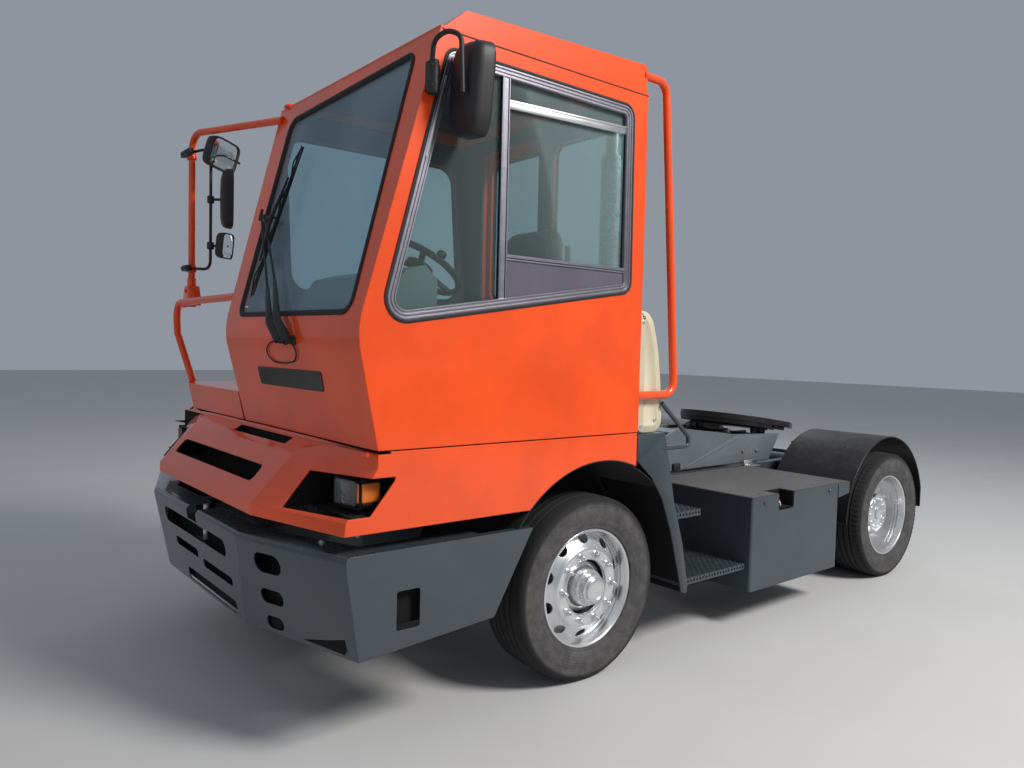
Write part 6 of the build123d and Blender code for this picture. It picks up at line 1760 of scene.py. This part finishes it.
class TRACTOR_OT_boxes(bpy.types.Operator):
    """Makes the deck plates, catches, bolts and the notch's cables of the side boxes"""

    bl_idname = "tractor.boxes"
    bl_label = "Boxes and decks"

    def execute(self, context):
        inner, outer = DECK_SPAN
        for hand, side in SIDES:
            deck = Form()
            front, rear = BOX_FRONT[hand] + 8, DECK_REAR - 6
            blocks = [(inner, outer, front, rear)]
            if side == "left":
                cut_edge, middle, half = NOTCH
                blocks = [(inner, cut_edge, front, rear), (cut_edge, outer, front, middle - half),
                          (cut_edge, outer, middle + half, rear)]
            for near, far, start, end in blocks:
                outline = [(hand * near, start), (hand * far, start), (hand * far, end), (hand * near, end)]
                deck.prism(outline, "z", *DECK_SKIN)
            piece(f"deck_plate_{side}", deck, "deck", "chassis")
        bolts = Form()
        for hand in HANDS:
            for station in (BOX_FRONT[hand] + 127, 2154):
                bolts.bolt((hand * HALF_WIDTH, station, LID_BOLT_HEIGHT), (hand, 0, 0), 12)
            for station, x in product(*DECK_SCREWS):
                bolts.disc((hand * x, station, 794), (0, 0, 1), ((-1, 11), (2, 11), (4, 6)), 14)
            for station, height in product(*FRAME_BOLTS):
                bolts.bolt((hand * FRAME_FACE, station, height), (hand, 0, 0), 12)
        piece("box_bolts", bolts, "chassis", "chassis", slot="grey_metal")
        catch = Form()
        catch.blocks(CATCH_BLOCKS)
        piece("deck_catch", catch, "steel", "chassis", bevel=3)
        # painted shade: the notch's inside is lined near-black
        notch = Form()
        notch.blocks(NOTCH_SHADE_BLOCKS)
        piece("notch_painted_shade", notch, "void", "chassis")
        for colour, height, reach in NOTCH_CABLES:
            cable = Form()
            cable.tube(rounded([(1160, 1600, height), (1192 + reach, 1640, height + 6),
                                (1200, 1650, height - 30), (1165, 1690, height - 34)], 24), 6, 8)
            piece(f"notch_cable_{colour}", cable, f"{colour}_wire", "chassis")
        return {"FINISHED"}


# Boom and fifth wheel

FIFTH_PIVOT = (2740, 1040)
FIFTH_TILT = 8
PLATE_RISE = 52
PLATE_DEPTH = 44
THROAT_STATION = 60
SKIRT = ((418, 2), (410, -34), (394, -34), (394, 2))
# Ribs under the plate: distance across, front end behind the pivot
RIBS = ((70, -250), (150, -250), (392, 40))
BRIDGE = ((-262, 2), (262, 2), (250, -44), (-250, -44))
GUSSET = ((1640, 819), (2264, 1022), (2320, 1028), (2872, 1010), (2738, 815))
GUSSET_SPAN = (403, 412)
WELDS = (((1700, 832), (2300, 1000)), ((2400, 830), (2520, 1000)))
# Bolt heads on the boom's sides: station, distance across
BOOM_BOLTS = ((1480, 404), (2380, 412), (2560, 412))
# A jaw by the throat: distance across and rise over the plate's underside
JAW = ((28, PLATE_DEPTH - 6), (72, PLATE_DEPTH - 6), (72, -16), (28, -16))
# The release handle: x and distance behind the pivot
HANDLE = ((-60, 10), (396, 60), (405, 100))
PLATE_SCREWS = (150, 210, 270, 330)
SCREW_CIRCLE = 250
# Members on the boom's top: middles of the bars, corners of the cross box, x of the posts
TOP_BARS = (-250, -90, 90, 250)
TOP_BOX = ((-372, 2440, 935), (372, 2600, 1004))
TOP_POSTS = (-180, 180)
# Air hoses: x, height at the front, and the route they share as shifts from there
AIR_HOSES = ((330, 960), (300, 948))
HOSE_ROUTE = ((0, 1420, 0), (0, 1620, 90), (-20, 1960, 100), (-60, 2300, 70), (-80, 2420, 40))


def on_fifth(x, behind, rise):
    """A point by its distance behind the pivot along the plate and its rise over the plate's underside."""
    slope = math.radians(FIFTH_TILT)
    return (
        x,
        FIFTH_PIVOT[0] + (PLATE_RISE + rise) * math.sin(slope) + behind * math.cos(slope),
        FIFTH_PIVOT[1] + (PLATE_RISE + rise) * math.cos(slope) - behind * math.sin(slope),
    )


def around_throat(radius, angle):
    """A point of the plate by its distance and angle round the throat: x, distance behind the pivot."""
    return turned(angle, radius, (0, THROAT_STATION))


class TRACTOR_OT_coupling(bpy.types.Operator):
    """Makes the fifth wheel's skirts, jaws and linkage, and the boom's gussets and fittings"""

    bl_idname = "tractor.coupling"
    bl_label = "Boom and fifth wheel"

    def boom_sides(self):
        gussets, welds = Form(), Form()
        outer = GUSSET_SPAN[1]
        for hand in HANDS:
            gussets.slab(GUSSET, hand, *GUSSET_SPAN)
            for start, end in WELDS:
                welds.rod((hand * outer, *start), (hand * outer, *end), 5)
            for station, across in BOOM_BOLTS:
                welds.bolt((hand * across, station, 900), (hand, 0, 0), 16)
        piece("boom_gussets", gussets, "boom", "lift_boom", bevel=3)
        piece("boom_welds_and_bolts", welds, "boom", "lift_boom")

    def fifth_wheel(self):
        casting, jaws = Form(), Form()
        casting.skin([
            [on_fifth(*around_throat(radius, 186 + 7 * step), rise) for radius, rise in SKIRT]
            for step in range(25)
        ])
        casting.skin([[on_fifth(x, behind, rise) for x, rise in BRIDGE] for behind in (-60, 215)])
        for hand in HANDS:
            for across, start in RIBS:
                casting.skin([
                    [on_fifth(hand * (across + side), behind, rise)
                     for side, rise in ((-6, 2), (6, 2), (6, -30), (-6, -30))]
                    for behind in (start, 220)
                ])
            jaws.skin([[on_fifth(hand * x, behind, rise) for x, rise in JAW] for behind in (30, 140)])
        piece("fifth_wheel_ribs", casting, "black", "fifth_wheel", sharp=40)
        for start, end in zip(HANDLE, HANDLE[1:]):
            jaws.rod(on_fifth(*start, -6), on_fifth(*end, -6), 11)
        top = Vector(on_fifth(0, 0, 1)) - Vector(on_fifth(0, 0, 0))
        for angle in PLATE_SCREWS:
            spot = on_fifth(*around_throat(SCREW_CIRCLE, angle), PLATE_DEPTH)
            jaws.disc(spot, top, ((-2, 13), (1, 13), (2, 9)), 14)
        piece("fifth_wheel_jaws", jaws, "cast", "fifth_wheel", bevel=1)

    def boom_top(self):
        members = Form()
        members.block(*TOP_BOX)
        for x in TOP_BARS:
            members.block((x - 12, 2440, 930), (x + 12, 2880, 1010))
        for x in TOP_POSTS:
            members.rod((x, 2500, 1000), (x, 2500, 1040), 34)
        piece("boom_top_members", members, "black", "lift_boom", bevel=3)
        hoses = Form()
        for x, low in AIR_HOSES:
            route = [(x + out, station, low + rise) for out, station, rise in HOSE_ROUTE]
            hoses.tube(rounded(route, 80), 11, 10)
        piece("boom_air_hoses", hoses, "fabric_black", "lift_boom")

    def execute(self, context):
        self.boom_sides()
        self.fifth_wheel()
        self.boom_top()
        return {"FINISHED"}


# Cab fittings

KNOB_FOOT = (853, -715, 2051)
DIAL_LINE = (-930, 1960)
# Dials: x, radius
DIALS = ((600, 34), (680, 34), (530, 24), (750, 24))
# Rocker switches: first x, pitch, width, number
SWITCHES = (800, 34, 26, 7)
SWITCH_SECTION = ((-14, 14), (14, -14), (20, -8), (-8, 20))
# The rear door's pull: x, heights of its two posts, and its bar
PULL_X = -40
PULL_POSTS = (1560, 1760)
PULL_BAR = ((320, 1550), (322, 1660), (320, 1770))
STACK_SPOT = (880, 390)
STACK_BANDS = (1475, 1900, 2330, 2650)
STACK_RADIUS = 64


class TRACTOR_OT_fittings(bpy.types.Operator):
    """Makes the spinner knob, the instruments, the rear door's pull and the stack's clamps"""

    bl_idname = "tractor.fittings"
    bl_label = "Cab fittings"

    def execute(self, context):
        knob = Form()
        knob.disc(KNOB_FOOT, (0, 0.45, 1), ((-14, 9), (10, 9), (16, 22), (34, 24), (44, 18), (47, 8)), 20)
        piece("wheel_spinner_knob", knob, "plastic", "cab", sharp=60)
        dials = Form()
        for x, radius in DIALS:
            profile = ((-4, radius), (6, radius), (8, radius - 4), (5, radius - 6))
            dials.disc((x, *DIAL_LINE), (0, 1, 1), profile, 24)
        first, pitch, width, count = SWITCHES
        for index in range(count):
            near = first + index * pitch
            dials.skin([
                [(x, DIAL_LINE[0] + a, DIAL_LINE[1] + b) for a, b in SWITCH_SECTION]
                for x in (near, near + width)
            ])
        piece("dashboard_dials", dials, "plastic", "cab", bevel=1)
        door = Form()
        for height in PULL_POSTS:
            door.rod((PULL_X, 281, height), (PULL_X, 320, height), 9)
        door.tube([(PULL_X, *spot) for spot in PULL_BAR], 10, 12)
        door.block((-62, 282, 1590), (-18, 290, 1700))
        piece("door_handle", door, "plastic", "rear_door", bevel=2)
        clamps = Form()
        out = STACK_RADIUS + 4
        across, station = STACK_SPOT
        for height in STACK_BANDS:
            clamps.disc((across, station, height), (0, 0, 1),
                        ((-12, STACK_RADIUS), (-12, out), (12, out), (12, STACK_RADIUS)), 40)
            clamps.bolt((across, station + out, height), (0, 1, 0), 8)
        piece("stack_clamps", clamps, "steel", "chassis", sharp=30)
        return {"FINISHED"}


# Mudguards

FENDER_SPAN = (560, 1165)
FENDER_RADIUS = 590
FENDER_REACH = 569.9
FENDER_SKIRT = 465
FENDER_LIP = 5.5
# Rivets through the guards: angles round the wheel, distances across
FENDER_RIVETS = ((60, 120), (620, 800, 980))


class TRACTOR_OT_mudguards(bpy.types.Operator):
    """Makes the rolled lips and the rivets of the rear mudguards"""

    bl_idname = "tractor.mudguards"
    bl_label = "Mudguard lips"

    def execute(self, context):
        lips = Form()
        for hand in HANDS:
            ends = ((REAR_STATION + FENDER_REACH - 4, FENDER_SKIRT + 2),
                    (REAR_STATION - FENDER_RADIUS + 4, TYRE_RADIUS))
            for across in FENDER_SPAN:
                arc = [turned(180 - step * 5.5, FENDER_RADIUS - 4, (REAR_STATION, TYRE_RADIUS))
                       for step in range(31)]
                lips.tube([(hand * across, *spot) for spot in arc + [ends[0]]], FENDER_LIP, 8)
            for end in ends:
                lips.rod((hand * FENDER_SPAN[0], *end), (hand * FENDER_SPAN[1], *end), FENDER_LIP, 8)
            for angle, across in product(*FENDER_RIVETS):
                spot = turned(angle, FENDER_RADIUS - 1, (REAR_STATION, TYRE_RADIUS))
                facing = Vector((0, spot[0] - REAR_STATION, spot[1] - TYRE_RADIUS))
                lips.disc((hand * across, *spot), facing, ((-2, 9), (2, 9), (4, 5)), 12)
        piece("mudguard_lips", lips, "fender", "chassis", sharp=60)
        return {"FINISHED"}


# Stage

CAMERA_PLACE = (3.811, -3.817, 1.656)
CAMERA_YAW = math.radians(50.89)
CAMERA_PITCH = math.radians(-2.71)
CAMERA_ROLL = math.radians(1.37)
CAMERA_LENS = 27.506
LIGHT_AIM = (0, 0, 1.2)
# Lights: name, place, size, power, colour
LIGHTS = (
    ("key", (7.5, 1.5, 7.5), 3.0, 900, (1.0, 0.97, 0.93)),
    ("front_fill", (1.0, -9.0, 4.5), 6.0, 25, (0.92, 0.96, 1.0)),
    ("back_fill", (-6.0, 6.0, 5.0), 6.0, 90, (0.95, 0.97, 1.0)),
)
SKY_COLOUR = (0.80, 0.88, 1.0, 1.0)
SKY_STRENGTH = 0.34
FLOOR_TONES = ((0.56, 0.56, 0.55, 1.0), (0.62, 0.62, 0.61, 1.0))


def add_camera():
    """The camera that stood where the photograph was taken."""
    camera = bpy.data.objects.new("camera", bpy.data.cameras.new("camera"))
    camera.data.lens = CAMERA_LENS
    ahead = Vector((
        -math.sin(CAMERA_YAW) * math.cos(CAMERA_PITCH),
        math.cos(CAMERA_YAW) * math.cos(CAMERA_PITCH),
        math.sin(CAMERA_PITCH),
    ))
    level = Vector((math.cos(CAMERA_YAW), math.sin(CAMERA_YAW), 0))
    upright = level.cross(ahead)
    right = math.cos(CAMERA_ROLL) * level + math.sin(CAMERA_ROLL) * upright
    up = math.cos(CAMERA_ROLL) * upright - math.sin(CAMERA_ROLL) * level
    camera.matrix_world = Matrix.LocRotScale(
        Vector(CAMERA_PLACE), Matrix((right, up, -ahead)).transposed(), None)
    bpy.context.collection.objects.link(camera)
    bpy.context.scene.camera = camera


def add_light(name, spot, size, power, colour):
    """A large soft area light that looks at the tractor."""
    light = bpy.data.objects.new(name, bpy.data.lights.new(name, "AREA"))
    light.data.shape = "DISK"
    light.data.size = size
    light.data.energy = power
    light.data.color = colour
    light.location = spot
    light.rotation_mode = "QUATERNION"
    light.rotation_quaternion = (Vector(LIGHT_AIM) - Vector(spot)).to_track_quat("-Z", "Y")
    bpy.context.collection.objects.link(light)


class TRACTOR_OT_stage(bpy.types.Operator):
    """Lays the pale floor and sets the camera and the soft lights"""

    bl_idname = "tractor.stage"
    bl_label = "Stage"

    def execute(self, context):
        add_camera()
        for light in LIGHTS:
            add_light(*light)
        world = bpy.data.worlds.new("studio")
        world.use_nodes = True
        sky = world.node_tree.nodes["Background"]
        sky.inputs[0].default_value = SKY_COLOUR
        sky.inputs[1].default_value = SKY_STRENGTH
        context.scene.world = world
        context.scene.view_settings.view_transform = "Standard"
        bpy.ops.mesh.primitive_plane_add(size=80)
        floor = context.object
        floor.name = "floor"
        ground = Finish("pale_floor", roughness=0.8, specular_ior_level=0.2)
        grain = ground.noise(1.2, 5.0)
        ground.feed(base_color=ground.mix(*FLOOR_TONES, grain))
        floor.data.materials.append(ground.material)
        return {"FINISHED"}


OPERATORS = (
    TRACTOR_OT_stage, TRACTOR_OT_finish_frame, TRACTOR_OT_tyres, TRACTOR_OT_rims, TRACTOR_OT_mirrors,
    TRACTOR_OT_seat, TRACTOR_OT_windows, TRACTOR_OT_panels, TRACTOR_OT_lamps, TRACTOR_OT_wiper,
    TRACTOR_OT_steps, TRACTOR_OT_boxes, TRACTOR_OT_coupling, TRACTOR_OT_mudguards,
    TRACTOR_OT_fittings,
)


class TRACTOR_PT_looks(bpy.types.Panel):
    """Lists the tractor's pieces and colours"""

    bl_idname = "TRACTOR_PT_looks"
    bl_label = "Terminal tractor"
    bl_space_type = "VIEW_3D"
    bl_region_type = "UI"
    bl_category = "Tractor"

    def draw(self, context):
        column = self.layout.column()
        for name in TractorColours.__annotations__:
            column.prop(context.scene.tractor_colours, name)
        for operator in OPERATORS:
            column.operator(operator.bl_idname)


GROUPS = {"tractor_colours": TractorColours, "tractor_wheels": TractorWheels}


def register():
    for group in GROUPS.values():
        bpy.utils.register_class(group)
    for name, group in GROUPS.items():
        setattr(bpy.types.Scene, name, bpy.props.PointerProperty(type=group))
    for operator in OPERATORS:
        bpy.utils.register_class(operator)
    bpy.utils.register_class(TRACTOR_PT_looks)


def unregister():
    bpy.utils.unregister_class(TRACTOR_PT_looks)
    for operator in reversed(OPERATORS):
        bpy.utils.unregister_class(operator)
    for name, group in GROUPS.items():
        delattr(bpy.types.Scene, name)
        bpy.utils.unregister_class(group)


def main():
    register()
    for operator in OPERATORS:
        family, name = operator.bl_idname.split(".")
        getattr(getattr(bpy.ops, family), name)()


if __name__ == "__main__":
    main()
